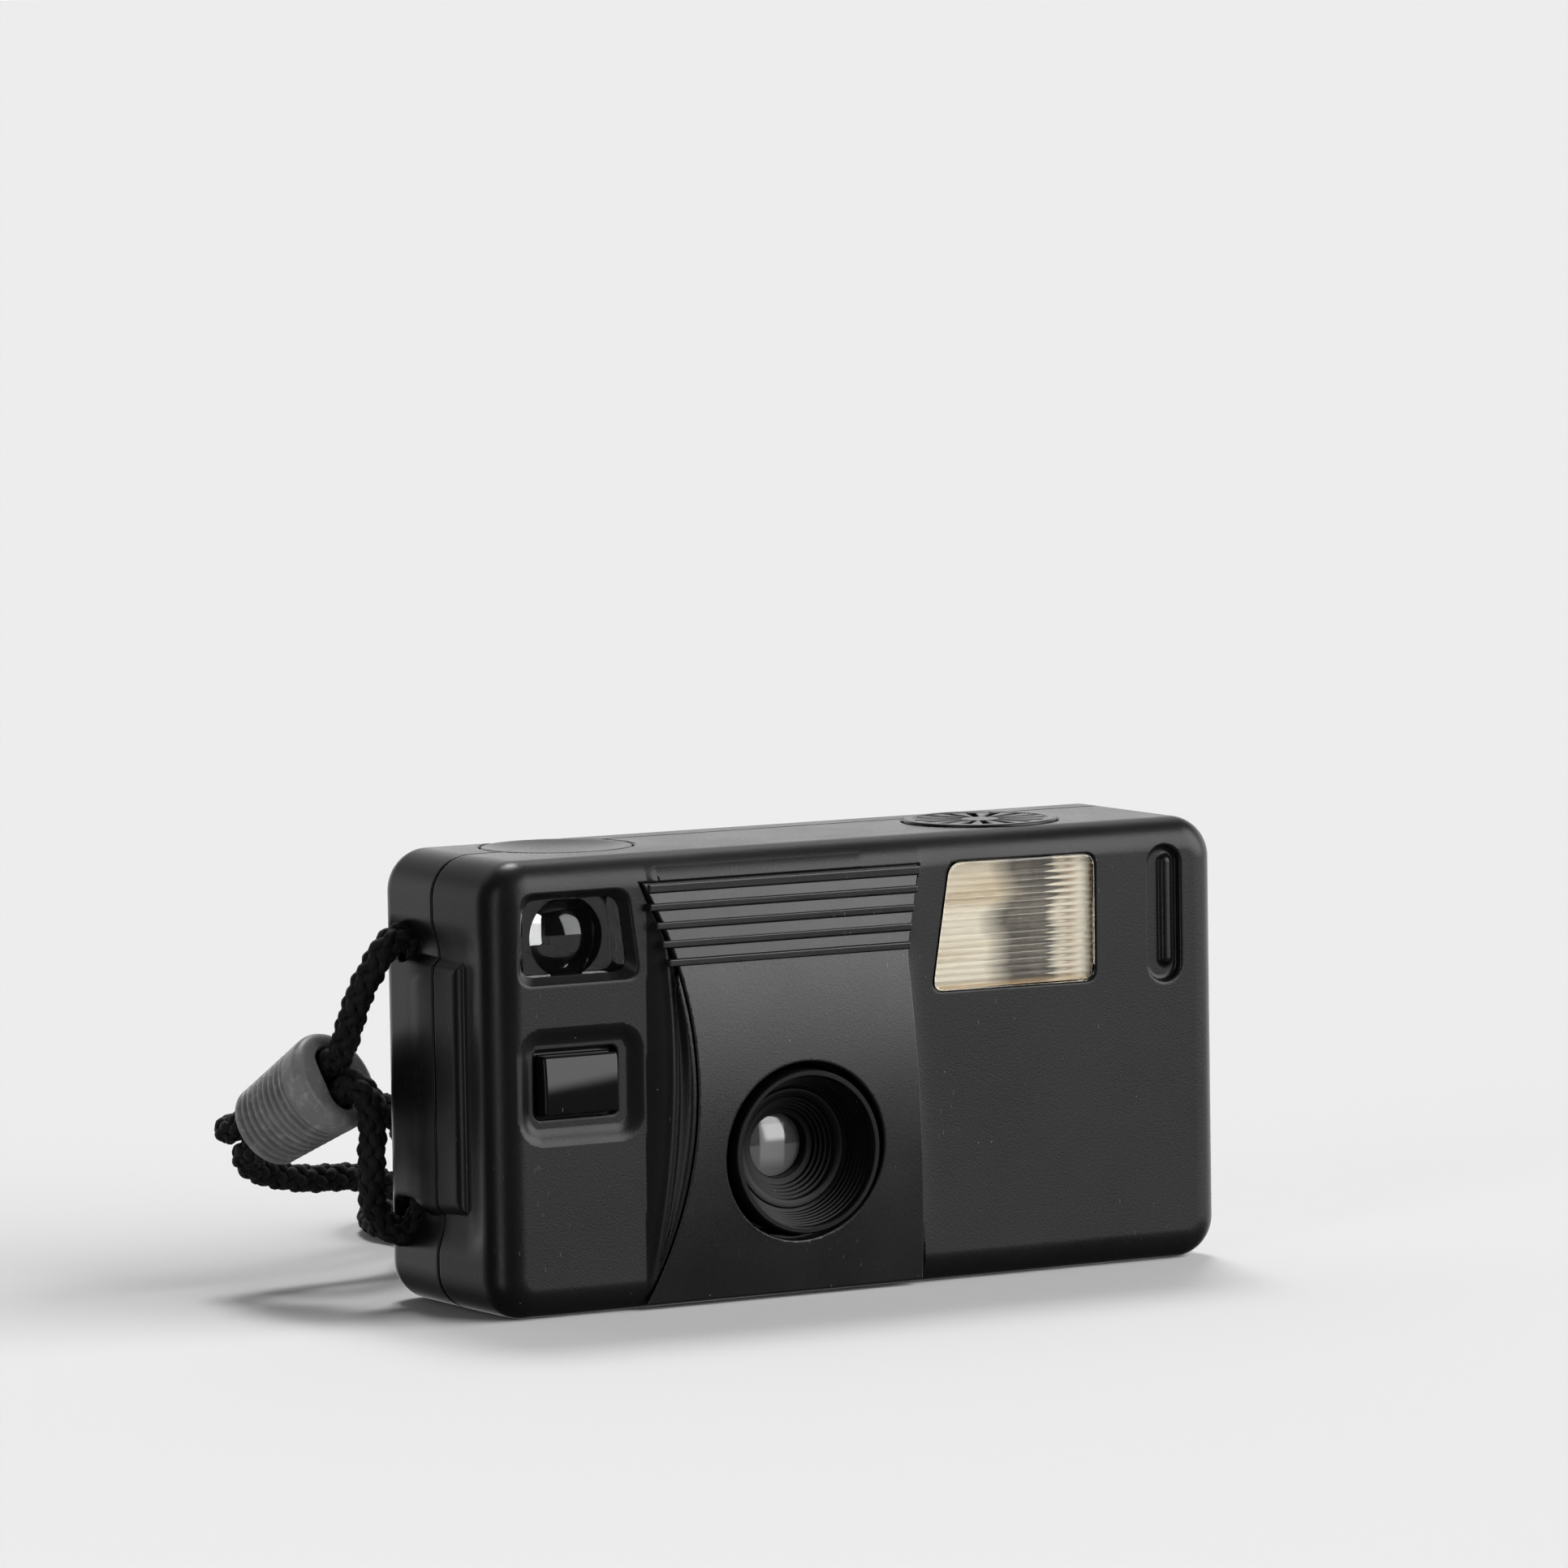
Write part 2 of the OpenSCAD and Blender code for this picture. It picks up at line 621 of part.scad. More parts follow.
module film_door_pin() {
  color("silver") placed() translate([door_hinge_x, hinge_y, door_low - 1.6])
    cylinder(r = pin_r, h = door_high - door_low + 3.2, $fn = 32);
}

module door_latch() {
  color([0.15, 0.15, 0.15]) placed() union() {
    box([door_left + 0.2, 27.1, 17.4], [door_left + 9.2, 27.9, 23.6]);
    box([door_left + 4, 27.8, 17.4], [door_left + 6.6, 29.6, 23.6]);
    for (k = [0:2]) box([door_left + 4.1 + 0.9 * k, 29.5, 17.6], [door_left + 4.5 + 0.9 * k, 30, 23.4]);
  }
}

module film_spring() {
  color("silver") placed() union() {
    box([-24, 27.9, 15], [2, 28.2, 23]);
    box([-20, 27.5, 17], [-2, 27.9, 21]);
  }
}

module battery_door() {
  color([0.12, 0.12, 0.125]) placed() difference() {
    door_plate(cell_door_left, cell_hinge_x, cell_door_low, cell_door_high);
    translate([cell_hinge_x, hinge_y, cell_door_low - 1]) cylinder(r = pin_r, h = 60, $fn = 32);
    for (k = [0:3]) box([38.4, body_d - 0.4, 27 + 1.4 * k], [42, body_d + 1, 27.7 + 1.4 * k]);
  }
}

module battery_door_pin() {
  color("silver") placed() translate([cell_hinge_x, hinge_y, cell_door_low - 1.6])
    cylinder(r = pin_r, h = cell_door_high - cell_door_low + 3.2, $fn = 32);
}

module battery() {
  color([0.55, 0.56, 0.6]) placed() union() {
    translate([cell_x, cell_y, cell_low]) cylinder(r = cell_r, h = 49.2, $fn = 96);
    translate([cell_x, cell_y, cell_low + 49]) cylinder(r = 2.7, h = 1.3, $fn = 48);
  }
}

module battery_contact_plus() {
  color("gold") placed() box([cell_x - 4, cell_y - 4, 54.8], [cell_x + 4, cell_y + 4, 57.2]);
}

module battery_contact_minus() {
  color("gold") placed() translate([cell_x, cell_y, 1.85]) cylinder(r1 = 4.5, r2 = 2.5, h = 2.5, $fn = 48);
}

module cover_screws() {
  color("silver") placed() for (s = screw_spots) union() {
    y_rod(s[0], s[1], 1.5, body_d - 1, body_d - 0.1, 32);
    y_rod(s[0], s[1], 0.7, body_d - 12, body_d - 0.9, 32);
  }
}

module cord_crimp() {
  color("silver") placed() translate([tunnel_x, tunnel_y, 24.02]) cylinder(r = cord_d / 2, h = 9.96, $fn = 48);
}

// Turns +Z to point along a direction.
module along(v) {
  rotate([0, acos(v[2] / norm(v)), atan2(v[1], v[0])]) children();
}

module strap_bead() {
  color([0.5, 0.5, 0.5]) placed() difference() {
    translate(bead_large_at) along(bead_axis) rotate_extrude($fn = 96) difference() {
      polygon([[0, 0], [bead_large_d / 2 - 1.6, 0], [bead_large_d / 2 - 0.4, 0.6], [bead_large_d / 2, 1.8],
               [bead_small_d / 2 + 0.1, bead_length - 1], [bead_small_d / 2 - 0.8, bead_length], [0, bead_length]]);
      for (k = [0:8]) translate([bead_large_d / 2 - 0.35 - 0.12 * k, 4 + 1.15 * k]) circle(r = 0.3, $fn = 16);
    }
    for (s = [-1, 1]) translate(bead_large_at + s * strand_offset * bead_side - 2 * bead_axis)
      along(bead_axis) cylinder(r = cord_d / 2 + 0.1, h = bead_length + 4, $fn = 48);
    translate(bead_large_at - 2 * bead_axis) along(bead_axis) translate([-strand_offset, -1.2, 0])
      cube([2 * strand_offset, 2.4, bead_length + 4]);
  }
}

// Points on a smooth curve through the route, with spare points on the long stretches.
function mixed(a, b, c, d, t) = 0.5 * (2 * b + (c - a) * t + (2 * a - 5 * b + 4 * c - d) * t * t
                                       + (3 * b - a - 3 * c + d) * t * t * t);
function at(k) = route[max(0, min(len(route) - 1, k))];
function is_straight(k) = k == len(route_out) || k == len(route_out) + 2 + len(route_loop);
fine_route = [for (k = [0:len(route) - 2]) each (is_straight(k) || norm(at(k + 1) - at(k)) < 4.4)
  ? [at(k)] : [at(k), mixed(at(k - 1), at(k), at(k + 1), at(k + 2), 0.5)]];
line_points = concat(fine_route, [at(len(route) - 1)]);

function unit(v) = v / norm(v);
function heading(k) = unit(line_points[min(k + 1, len(line_points) - 1)] - line_points[max(k - 1, 0)]);
function carried(v, t) = unit(v - (v * t) * t);
function frames(k, v) = k == len(line_points) ? []
  : let (t = heading(k), n = carried(v, t)) concat([[t, n]], frames(k + 1, n));
ring_frames = frames(0, [1, 0, 0]);
function ring(k) = let (t = ring_frames[k][0], n = ring_frames[k][1], b = cross(t, n))
  [for (s = [0:CORD_SIDES - 1])
    line_points[k] + cord_d / 2 * (n * cos(s * 360 / CORD_SIDES) + b * sin(s * 360 / CORD_SIDES))];

module strap_cord() {
  rings = len(line_points);
  color([0.04, 0.04, 0.04]) placed() polyhedron(
    points = [for (k = [0:rings - 1]) each ring(k)],
    faces = concat(
      [[for (s = [0:CORD_SIDES - 1]) s]],
      [[for (s = [CORD_SIDES - 1:-1:0]) (rings - 1) * CORD_SIDES + s]],
      [for (k = [0:rings - 2], s = [0:CORD_SIDES - 1]) let (a = k * CORD_SIDES + s, b = k * CORD_SIDES + (s + 1) % CORD_SIDES)
        each [[a, a + CORD_SIDES, b], [b, a + CORD_SIDES, b + CORD_SIDES]]]),
    convexity = 10);
}

front_cover();
rear_cover();
lens_panel();
lens_ring();
lens_barrel();
front_lens();
rear_lens();
shutter_plate();
shutter_blade();
blade_pin();
release_lever();
lever_pin();
shutter_button();
button_spring();
flash_button();
flash_contact();
viewfinder_window();
viewfinder_tube();
viewfinder_eyepiece();
flash_window();
flash_reflector();
flash_tube();
flash_board();
flash_capacitor();
trigger_coil();
top_dial();
dial_gear();
drive_gear();
ratchet_spring();
chassis();
film_door();
film_door_pin();
door_latch();
film_spring();
battery_door();
battery_door_pin();
battery();
battery_contact_plus();
battery_contact_minus();
cover_screws();
strap_cord();
cord_crimp();
strap_bead();
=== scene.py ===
import math

import bmesh
import bpy
import numpy as np
from mathutils import Matrix, Vector


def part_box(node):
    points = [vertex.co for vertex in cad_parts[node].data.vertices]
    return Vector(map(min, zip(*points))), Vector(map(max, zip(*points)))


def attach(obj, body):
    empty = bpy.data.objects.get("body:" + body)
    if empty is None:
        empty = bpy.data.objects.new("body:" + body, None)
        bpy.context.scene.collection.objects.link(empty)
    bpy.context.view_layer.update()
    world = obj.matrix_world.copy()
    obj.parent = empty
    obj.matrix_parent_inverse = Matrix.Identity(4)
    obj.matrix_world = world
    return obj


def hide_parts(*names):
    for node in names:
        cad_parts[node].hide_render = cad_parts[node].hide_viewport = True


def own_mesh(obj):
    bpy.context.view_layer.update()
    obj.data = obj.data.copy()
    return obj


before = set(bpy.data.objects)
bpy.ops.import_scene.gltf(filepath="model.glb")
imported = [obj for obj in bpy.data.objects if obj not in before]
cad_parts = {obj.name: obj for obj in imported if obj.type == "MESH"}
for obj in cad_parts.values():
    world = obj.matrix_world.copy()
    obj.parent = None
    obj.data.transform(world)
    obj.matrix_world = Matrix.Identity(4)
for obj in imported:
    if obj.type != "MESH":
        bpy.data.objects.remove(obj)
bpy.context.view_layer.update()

# --- Units ---
# Shapes are worked out in millimetres in the body frame: X = 0 in the middle, Y = 0 on the
# front face and growing to the back, Z = 0 at the base. place() turns them into the row frame.
MM = 0.001
FACE_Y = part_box("front_cover")[0].y / MM
BODY_W = (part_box("rear_cover")[1].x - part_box("rear_cover")[0].x) / MM
BODY_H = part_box("rear_cover")[1].z / MM
BODY_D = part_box("rear_cover")[1].y / MM - FACE_Y
HALF_W = BODY_W / 2
CORNER_R = 5.5
FRONT_R = 4.2
REAR_R = 3.0
WALL = 1.8
SEAM_SIDE_Y = 15.3
SEAM_Y = 23.0
SEAM_STEP_X = -36.0
SEAM_GAP = 0.16
SHARP_ANGLE = math.radians(35)


def place(points):
    """Points in the body frame, in millimetres, as an array of row-frame metres."""
    return (np.asarray(points, float) + [0, FACE_Y, 0]) * MM


def node_box(name):
    """A CAD node's box in the body frame, in millimetres."""
    low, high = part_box(name)
    shift = np.array([0, FACE_Y, 0])
    return np.array(low) / MM - shift, np.array(high) / MM - shift


def node_middle(name):
    low, high = node_box(name)
    return (low + high) / 2


LENS_X, _, LENS_Z = node_middle("lens_ring")
PANEL_HOLE_R = 11.7
BUTTON_X, BUTTON_Y = node_middle("shutter_button")[:2]
BUTTON_R = 9.9
DIAL_X, DIAL_Y = node_middle("top_dial")[:2]
DIAL_R = 10.2
DIAL_SLOTS = 16
KEY_X, _, KEY_Z = node_middle("flash_button")

# --- Camera ---
CAMERA_AIM = (0, 0, 29.33)
CAMERA_DISTANCE = 1207.6
CAMERA_AZIMUTH = 30.115
CAMERA_ELEVATION = 6.734
CAMERA_ROLL = 0.83
CAMERA_OFF_AXIS = (-0.008666, 0.030520)
CAMERA_LENS = 212.9


def add_camera():
    """Looks at the middle of the body with a slight roll."""
    a = math.radians(CAMERA_AZIMUTH)
    e = math.radians(CAMERA_ELEVATION)
    roll = math.radians(CAMERA_ROLL)
    right = Vector((math.cos(a), -math.sin(a), 0))
    up = Vector((math.sin(a) * math.sin(e), math.cos(a) * math.sin(e), math.cos(e)))
    back = Vector((-math.sin(a) * math.cos(e), -math.cos(a) * math.cos(e), math.sin(e)))
    right, up = right * math.cos(roll) - up * math.sin(roll), up * math.cos(roll) + right * math.sin(roll)
    axis = (-back + CAMERA_OFF_AXIS[0] * right + CAMERA_OFF_AXIS[1] * up).normalized()
    right = axis.cross(up).normalized()
    up = right.cross(axis)
    data = bpy.data.cameras.new("camera")
    data.lens = CAMERA_LENS
    data.sensor_width = 36
    data.clip_start = 0.05
    data.clip_end = 500
    cam = bpy.data.objects.new("camera", data)
    bpy.context.scene.collection.objects.link(cam)
    cam.matrix_world = Matrix((right, up, -axis)).transposed().to_4x4()
    cam.location = Vector(place(CAMERA_AIM)) + back * CAMERA_DISTANCE * MM
    bpy.context.scene.camera = cam


# --- Material helpers ---
def math_node(tree, kind, a, b=0.0):
    """Adds a maths node; each value is a number or another node's output."""
    node = tree.nodes.new("ShaderNodeMath")
    node.operation = kind
    for socket, value in zip(node.inputs, (a, b)):
        if isinstance(value, (int, float)):
            socket.default_value = value
        else:
            tree.links.new(value, socket)
    return node.outputs[0]


class Shader:
    """A small wrapper that adds nodes to one material."""

    def __init__(self, name, **values):
        self.mat = bpy.data.materials.new(name)
        self.mat.use_nodes = True
        self.tree = self.mat.node_tree
        self.bsdf = self.tree.nodes["Principled BSDF"]
        for key, value in values.items():
            self.bsdf.inputs[key.replace("_", " ")].default_value = value
        self.coords = self.add("ShaderNodeTexCoord").outputs["Object"]

    def add(self, kind, **props):
        node = self.tree.nodes.new(kind)
        for key, value in props.items():
            setattr(node, key, value)
        return node

    def join(self, out, to):
        self.tree.links.new(out, to)

    def scaled(self, scale, turn=(0, 0, 0)):
        node = self.add("ShaderNodeMapping")
        node.inputs["Scale"].default_value = scale
        node.inputs["Rotation"].default_value = [math.radians(t) for t in turn]
        self.join(self.coords, node.inputs["Vector"])
        return node.outputs["Vector"]

    def noise(self, scale, detail=2, rough=0.5, vector=None):
        node = self.add("ShaderNodeTexNoise")
        node.inputs["Scale"].default_value = scale
        node.inputs["Detail"].default_value = detail
        node.inputs["Roughness"].default_value = rough
        self.join(vector or self.coords, node.inputs["Vector"])
        return node.outputs["Fac"]

    def cells(self, scale, vector=None):
        node = self.add("ShaderNodeTexVoronoi", feature="F1")
        node.inputs["Scale"].default_value = scale
        self.join(vector or self.coords, node.inputs["Vector"])
        return node.outputs["Distance"]

    def remap(self, value, low, high, to_low=0.0, to_high=1.0):
        node = self.add("ShaderNodeMapRange")
        node.inputs["From Min"].default_value = low
        node.inputs["From Max"].default_value = high
        node.inputs["To Min"].default_value = to_low
        node.inputs["To Max"].default_value = to_high
        self.join(value, node.inputs["Value"])
        return node.outputs["Result"]

    def math(self, kind, a, b):
        return math_node(self.tree, kind, a, b)

    def mix(self, factor, a, b):
        node = self.add("ShaderNodeMix", data_type="RGBA")
        self.join(factor, node.inputs["Factor"])
        for socket, value in ((node.inputs["A"], a), (node.inputs["B"], b)):
            if isinstance(value, (tuple, list)):
                socket.default_value = (*value[:3], 1)
            else:
                self.join(value, socket)
        return node.outputs["Result"]

    def bump(self, height, strength, distance, normal=None):
        node = self.add("ShaderNodeBump")
        node.inputs["Strength"].default_value = strength
        node.inputs["Distance"].default_value = distance
        self.join(height, node.inputs["Height"])
        if normal is not None:
            self.join(normal, node.inputs["Normal"])
        return node.outputs["Normal"]


def plastic(name, tone, rough, specular=0.35, grain=0.12, scratched=0.5, dusty=0.5):
    """Black moulded plastic: fine grain, cloudy gloss, hairline scratches and specks of dust."""
    s = Shader(name, IOR=1.46, Specular_IOR_Level=specular)
    cloud = s.noise(55, 3, 0.55)
    fine = s.noise(3400, 2, 0.6)
    # Short straight scratches in three directions, gathered in patches.
    marks = None
    for turn, size in (((20, 35, 10), 200), ((-35, -60, 25), 260), ((80, 15, -50), 230)):
        line = s.remap(s.cells(1, s.scaled((size * 7, size * 7, size), turn)), 0.1, 0.06)
        patches = s.remap(s.noise(60, 2, 0.5, s.scaled((1, 1, 1), turn)), 0.6, 0.64)
        line = s.math("MULTIPLY", line, patches)
        marks = line if marks is None else s.math("MAXIMUM", marks, line)
    specks = s.math("MULTIPLY", s.remap(s.cells(420), 0.045, 0.02, 0, 1), s.remap(s.noise(160), 0.56, 0.6))
    tint = s.mix(s.remap(cloud, 0.3, 0.7), [t * 0.9 for t in tone], [t * 1.12 for t in tone])
    tint = s.mix(s.math("MULTIPLY", marks, 0.3 * scratched), tint, (0.35, 0.35, 0.36))
    tint = s.mix(s.math("MULTIPLY", specks, 0.5 * dusty), tint, (0.6, 0.6, 0.6))
    s.join(tint, s.bsdf.inputs["Base Color"])
    gloss = s.remap(cloud, 0.3, 0.7, rough - 0.035, rough + 0.045)
    gloss = s.math("ADD", gloss, s.remap(fine, 0.35, 0.65, 0, 0.5 * grain))
    gloss = s.math("ADD", gloss, s.math("MULTIPLY", specks, 0.3))
    s.join(gloss, s.bsdf.inputs["Roughness"])
    normal = s.bump(fine, 2.2 * grain, 0.00006)
    normal = s.bump(marks, 0.25 * scratched, 0.00003, normal)
    s.join(normal, s.bsdf.inputs["Normal"])
    return s.mat


def metal(name, tone, rough):
    s = Shader(name, Metallic=1.0)
    grain = s.noise(1, 3, 0.6, s.scaled((260, 260, 3640)))
    cloud = s.noise(90, 2)
    s.join(s.mix(s.remap(cloud, 0.3, 0.7), [t * 0.85 for t in tone], tone), s.bsdf.inputs["Base Color"])
    s.join(s.remap(grain, 0.3, 0.7, rough - 0.06, rough + 0.08), s.bsdf.inputs["Roughness"])
    s.join(s.bump(grain, 0.15, 0.00003), s.bsdf.inputs["Normal"])
    return s.mat


def clear(name, tone, rough):
    s = Shader(name, IOR=1.49, Transmission_Weight=1.0)
    smear = s.noise(180, 3, 0.6)
    s.join(s.mix(s.remap(smear, 0.3, 0.8), tone, [t * 0.96 for t in tone]), s.bsdf.inputs["Base Color"])
    s.join(s.remap(smear, 0.5, 0.8, rough, rough + 0.02), s.bsdf.inputs["Roughness"])
    return s.mat


# --- Mesh helpers ---
def new_piece(name, points, faces, material, body, replaced=(), normals=None, smooth=True):
    """A mesh object from body-frame millimetres, riding on a body."""
    mesh = bpy.data.meshes.new(name)
    points = np.asarray(points, float)
    mesh.from_pydata(place(points).tolist(), [], np.asarray(faces).tolist())
    mesh.update()
    if smooth:
        mesh.shade_smooth()
    if normals is not None:
        mesh.normals_split_custom_set_from_vertices(np.asarray(normals, float).tolist())
    obj = bpy.data.objects.new(name, mesh)
    bpy.context.scene.collection.objects.link(obj)
    mesh.materials.append(material)
    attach(obj, body)
    if replaced:
        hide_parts(*replaced)
    return obj


def steps(*stops):
    """Grid lines from stops of (start, spacing), ending with a plain number."""
    lines = []
    for (start, gap), nxt in zip(stops[:-1], stops[1:]):
        end = nxt[0] if isinstance(nxt, tuple) else nxt
        count = max(1, round((end - start) / gap))
        lines.extend(np.linspace(start, end, count + 1)[:-1])
    lines.append(stops[-1])
    return np.array(lines)


def gradient(shape, p):
    h = 0.02
    x, y, z = p.T
    return np.stack([
        shape(x + h, y, z) - shape(x - h, y, z),
        shape(x, y + h, z) - shape(x, y - h, z),
        shape(x, y, z + h) - shape(x, y, z - h)], 1) / (2 * h)


def skin(shape, xs, ys, zs):
    """Surface of a signed distance shape on a grid: points, quads and normals (dual contouring)."""
    grid = (xs, ys, zs)
    f = shape(xs[:, None, None], ys[None, :, None], zs[None, None, :])
    f = np.broadcast_to(f, (len(xs), len(ys), len(zs)))
    inside = f < 0
    total = np.zeros((len(xs) - 1, len(ys) - 1, len(zs) - 1), np.int8)
    for i, j, k in np.ndindex(2, 2, 2):
        total += inside[i:len(xs) - 1 + i, j:len(ys) - 1 + j, k:len(zs) - 1 + k]
    mixed = (total > 0) & (total < 8)
    cells = np.argwhere(mixed)
    index = np.full(mixed.shape, -1, np.int64)
    index[mixed] = np.arange(len(cells))
    # Each cell's point is the mean of its edges' crossings.
    sums = np.zeros((len(cells), 3))
    counts = np.zeros(len(cells))
    for axis in range(3):
        others = [a for a in range(3) if a != axis]
        for u, v in np.ndindex(2, 2):
            start = cells.copy()
            start[:, others[0]] += u
            start[:, others[1]] += v
            end = start.copy()
            end[:, axis] += 1
            fa = f[tuple(start.T)]
            fb = f[tuple(end.T)]
            crossed = (fa < 0) != (fb < 0)
            t = np.where(crossed, fa / np.where(fa == fb, 1, fa - fb), 0)
            point = np.stack([grid[a][start[:, a]] for a in range(3)], 1)
            step = grid[axis][end[:, axis]] - grid[axis][start[:, axis]]
            point[:, axis] += t * step
            sums[crossed] += point[crossed]
            counts[crossed] += 1
    points = sums / counts[:, None]
    # Slide the points onto the surface, without leaving their cells.
    low = np.stack([grid[a][cells[:, a]] for a in range(3)], 1)
    high = np.stack([grid[a][cells[:, a] + 1] for a in range(3)], 1)
    for _ in range(4):
        g = gradient(shape, points)
        value = shape(*points.T)
        points = points - g * (value / np.maximum((g * g).sum(1), 0.05))[:, None] * 0.9
        points = np.clip(points, low, high)
    g = gradient(shape, points)
    normals = g / np.maximum(np.linalg.norm(g, axis=1), 1e-6)[:, None]
    quads = []
    for axis in range(3):
        b, c = [(1, 2), (2, 0), (0, 1)][axis]
        first = np.delete(inside, -1, axis)
        where = np.argwhere(first != np.delete(inside, 0, axis))
        across = where[:, [b, c]]
        last = [len(grid[b]) - 1, len(grid[c]) - 1]
        where = where[((across > 0) & (across < last)).all(1)]
        outward = first[tuple(where.T)]
        ring = []
        for db, dc in ((-1, -1), (0, -1), (0, 0), (-1, 0)):
            cell = where.copy()
            cell[:, b] += db
            cell[:, c] += dc
            ring.append(index[tuple(cell.T)])
        quad = np.stack(ring, 1)
        quad[~outward] = quad[~outward][:, ::-1]
        quads.append(quad)
    return points, np.concatenate(quads), normals


def carved(name, shape, xs, ys, zs, material, body, replaced=()):
    points, quads, normals = skin(shape, xs, ys, zs)
    return new_piece(name, points, quads, material, body, replaced, normals)


def turned(name, profile, centre, axis, material, body, replaced=(), sides=96):
    """Turns an outline of (radius, height) points about a centre; height runs along the axis."""
    axis = np.asarray(axis, float)
    side = np.array([1.0, 0, 0]) if abs(axis[0]) < 0.5 else np.array([0, 1.0, 0])
    side = side - axis * (side @ axis)
    side /= np.linalg.norm(side)
    other = np.cross(axis, side)
    turn = np.linspace(0, 2 * np.pi, sides, endpoint=False)
    points = []
    for r, h in profile:
        ring = np.outer(np.cos(turn), side) * r + np.outer(np.sin(turn), other) * r + axis * h
        points.extend(np.asarray(centre) + ring)
    count = len(profile)
    faces = []
    for i in range(count):
        n = (i + 1) % count
        for k in range(sides):
            m = (k + 1) % sides
            faces.append([i * sides + k, i * sides + m, n * sides + m, n * sides + k])
    obj = new_piece(name, points, faces, material, body, replaced, smooth=False)
    soften(obj)
    return obj


def soften(obj):
    """Merges doubled points, turns the faces outward and keeps only the steep edges sharp."""
    mesh = bmesh.new()
    mesh.from_mesh(obj.data)
    bmesh.ops.remove_doubles(mesh, verts=mesh.verts, dist=1e-7)
    bmesh.ops.dissolve_degenerate(mesh, edges=mesh.edges, dist=1e-7)
    bmesh.ops.recalc_face_normals(mesh, faces=mesh.faces)
    for edge in mesh.edges:
        sharp = len(edge.link_faces) == 2 and edge.calc_face_angle(0) > SHARP_ANGLE
        edge.smooth = not sharp
    for face in mesh.faces:
        face.smooth = True
    mesh.to_mesh(obj.data)
    mesh.free()


# Distances: negative inside. a and b are distances to two half spaces or shapes.
def round_and(a, b, r):
    """Where both are negative, with an outside edge of radius r."""
    u = np.maximum(a + r, 0)
    v = np.maximum(b + r, 0)
    return np.minimum(np.maximum(a + r, b + r), 0) + np.hypot(u, v) - r


def soft_max(a, b, r):
    h = np.maximum(r - np.abs(a - b), 0)
    return np.maximum(a, b) + h * h / (4 * r)


def soft_min(a, b, r):
    return -soft_max(-a, -b, r)


def ease(t):
    t = np.clip(t, 0, 1)
    return t * t * (3 - 2 * t)


def rect(u, v, u0, u1, v0, v1, r):
    """Distance to a rectangle with rounded corners in a plane."""
    a = np.abs(u - (u0 + u1) / 2) - (u1 - u0) / 2 + r
    b = np.abs(v - (v0 + v1) / 2) - (v1 - v0) / 2 + r
    return np.minimum(np.maximum(a, b), 0) + np.hypot(np.maximum(a, 0), np.maximum(b, 0)) - r


def outline(u, v, corners, r):
    """Distance to a convex outline, corners in anticlockwise order, with soft corners."""
    d = None
    for (u0, v0), (u1, v1) in zip(corners, corners[1:] + corners[:1]):
        length = math.hypot(u1 - u0, v1 - v0)
        side = ((v1 - v0) * (u - u0) - (u1 - u0) * (v - v0)) / length
        d = side if d is None else soft_max(d, side, r)
    return d


# --- Shapes of the covers ---
def body_form(x, y, z, inset=0.0):
    d2 = rect(x, z, -HALF_W + inset, HALF_W - inset, inset, BODY_H - inset, CORNER_R - inset)
    front = round_and(d2, inset - y, FRONT_R - inset)
    back = round_and(d2, y - BODY_D + inset, REAR_R - inset)
    return np.maximum(front, back)


BULGE = 2.65
BULGE_MIDDLE_Z = 30.0
BULGE_R = 148


def bulge(z):
    """How far the lens panel stands out: a cylinder of radius BULGE_R lies across the front."""
    return BULGE - (z - BULGE_MIDDLE_Z) ** 2 / (2 * BULGE_R)


def panel_left(z, grow=0.0):
    """The panel's left edge, an arc."""
    return -86.1 + np.sqrt(np.maximum((60.0 - grow) ** 2 - (z - 28.0) ** 2, 1))


def panel_right(z):
    """The panel's right edge: two straight runs that meet below the ribs."""
    low = 8.6 + (z - 0.4) * (5.7 - 8.6) / 44
    high = 5.7 + (z - 44.4) * (8.3 - 5.7) / 10.6
    return soft_max(low, high, 0.6)


def panel_area(x, z, grow=0.0):
    """Distance in front view to the panel's outline."""
    left = panel_left(z, grow) - x
    right = x - panel_right(z) - grow
    high = z - 55.35
    low = 0.7 - z - grow
    return np.maximum(np.maximum(left, right), np.maximum(high, low))


def face_height(x, z):
    """How far the front cover stands proud of its plane left of the lens panel."""
    edge = -32.9 + (z - 2.7) / 51.3
    crest = -164.6 + np.sqrt(136.0 ** 2 - (z - 33.0) ** 2)
    rim = panel_left(z, 0.75)
    room = np.maximum(bulge(z), 0)
    ledge = 0.42 * room
    t = np.clip((x - edge) / np.maximum(crest - edge, 0.05), 0, 1)
    ramp = ledge * np.sin(t * np.pi / 2)
    wall = ease((x - crest - 0.35) / np.maximum(rim - crest - 0.35, 0.1))
    ridge = 0.22 * ease(room / 1.2) * np.exp(-((x - crest + 0.45) / 0.5) ** 2)
    height = ramp + ridge + wall * (np.maximum(room - 0.15, 0) - ledge)
    right = panel_right(z) + 0.1
    fall = 0.3 * room * np.exp(-np.maximum(x - right, 0) / 0.9)
    return np.where(x < 0, height, fall)


FINDER = [(-50.7, 43.1), (-33.0, 43.1), (-34.6, 54.9), (-50.2, 54.9)]
FLASH = [(10.5, 38.5), (35.4, 38.3), (35.5, 55.1), (13.3, 55.2)]


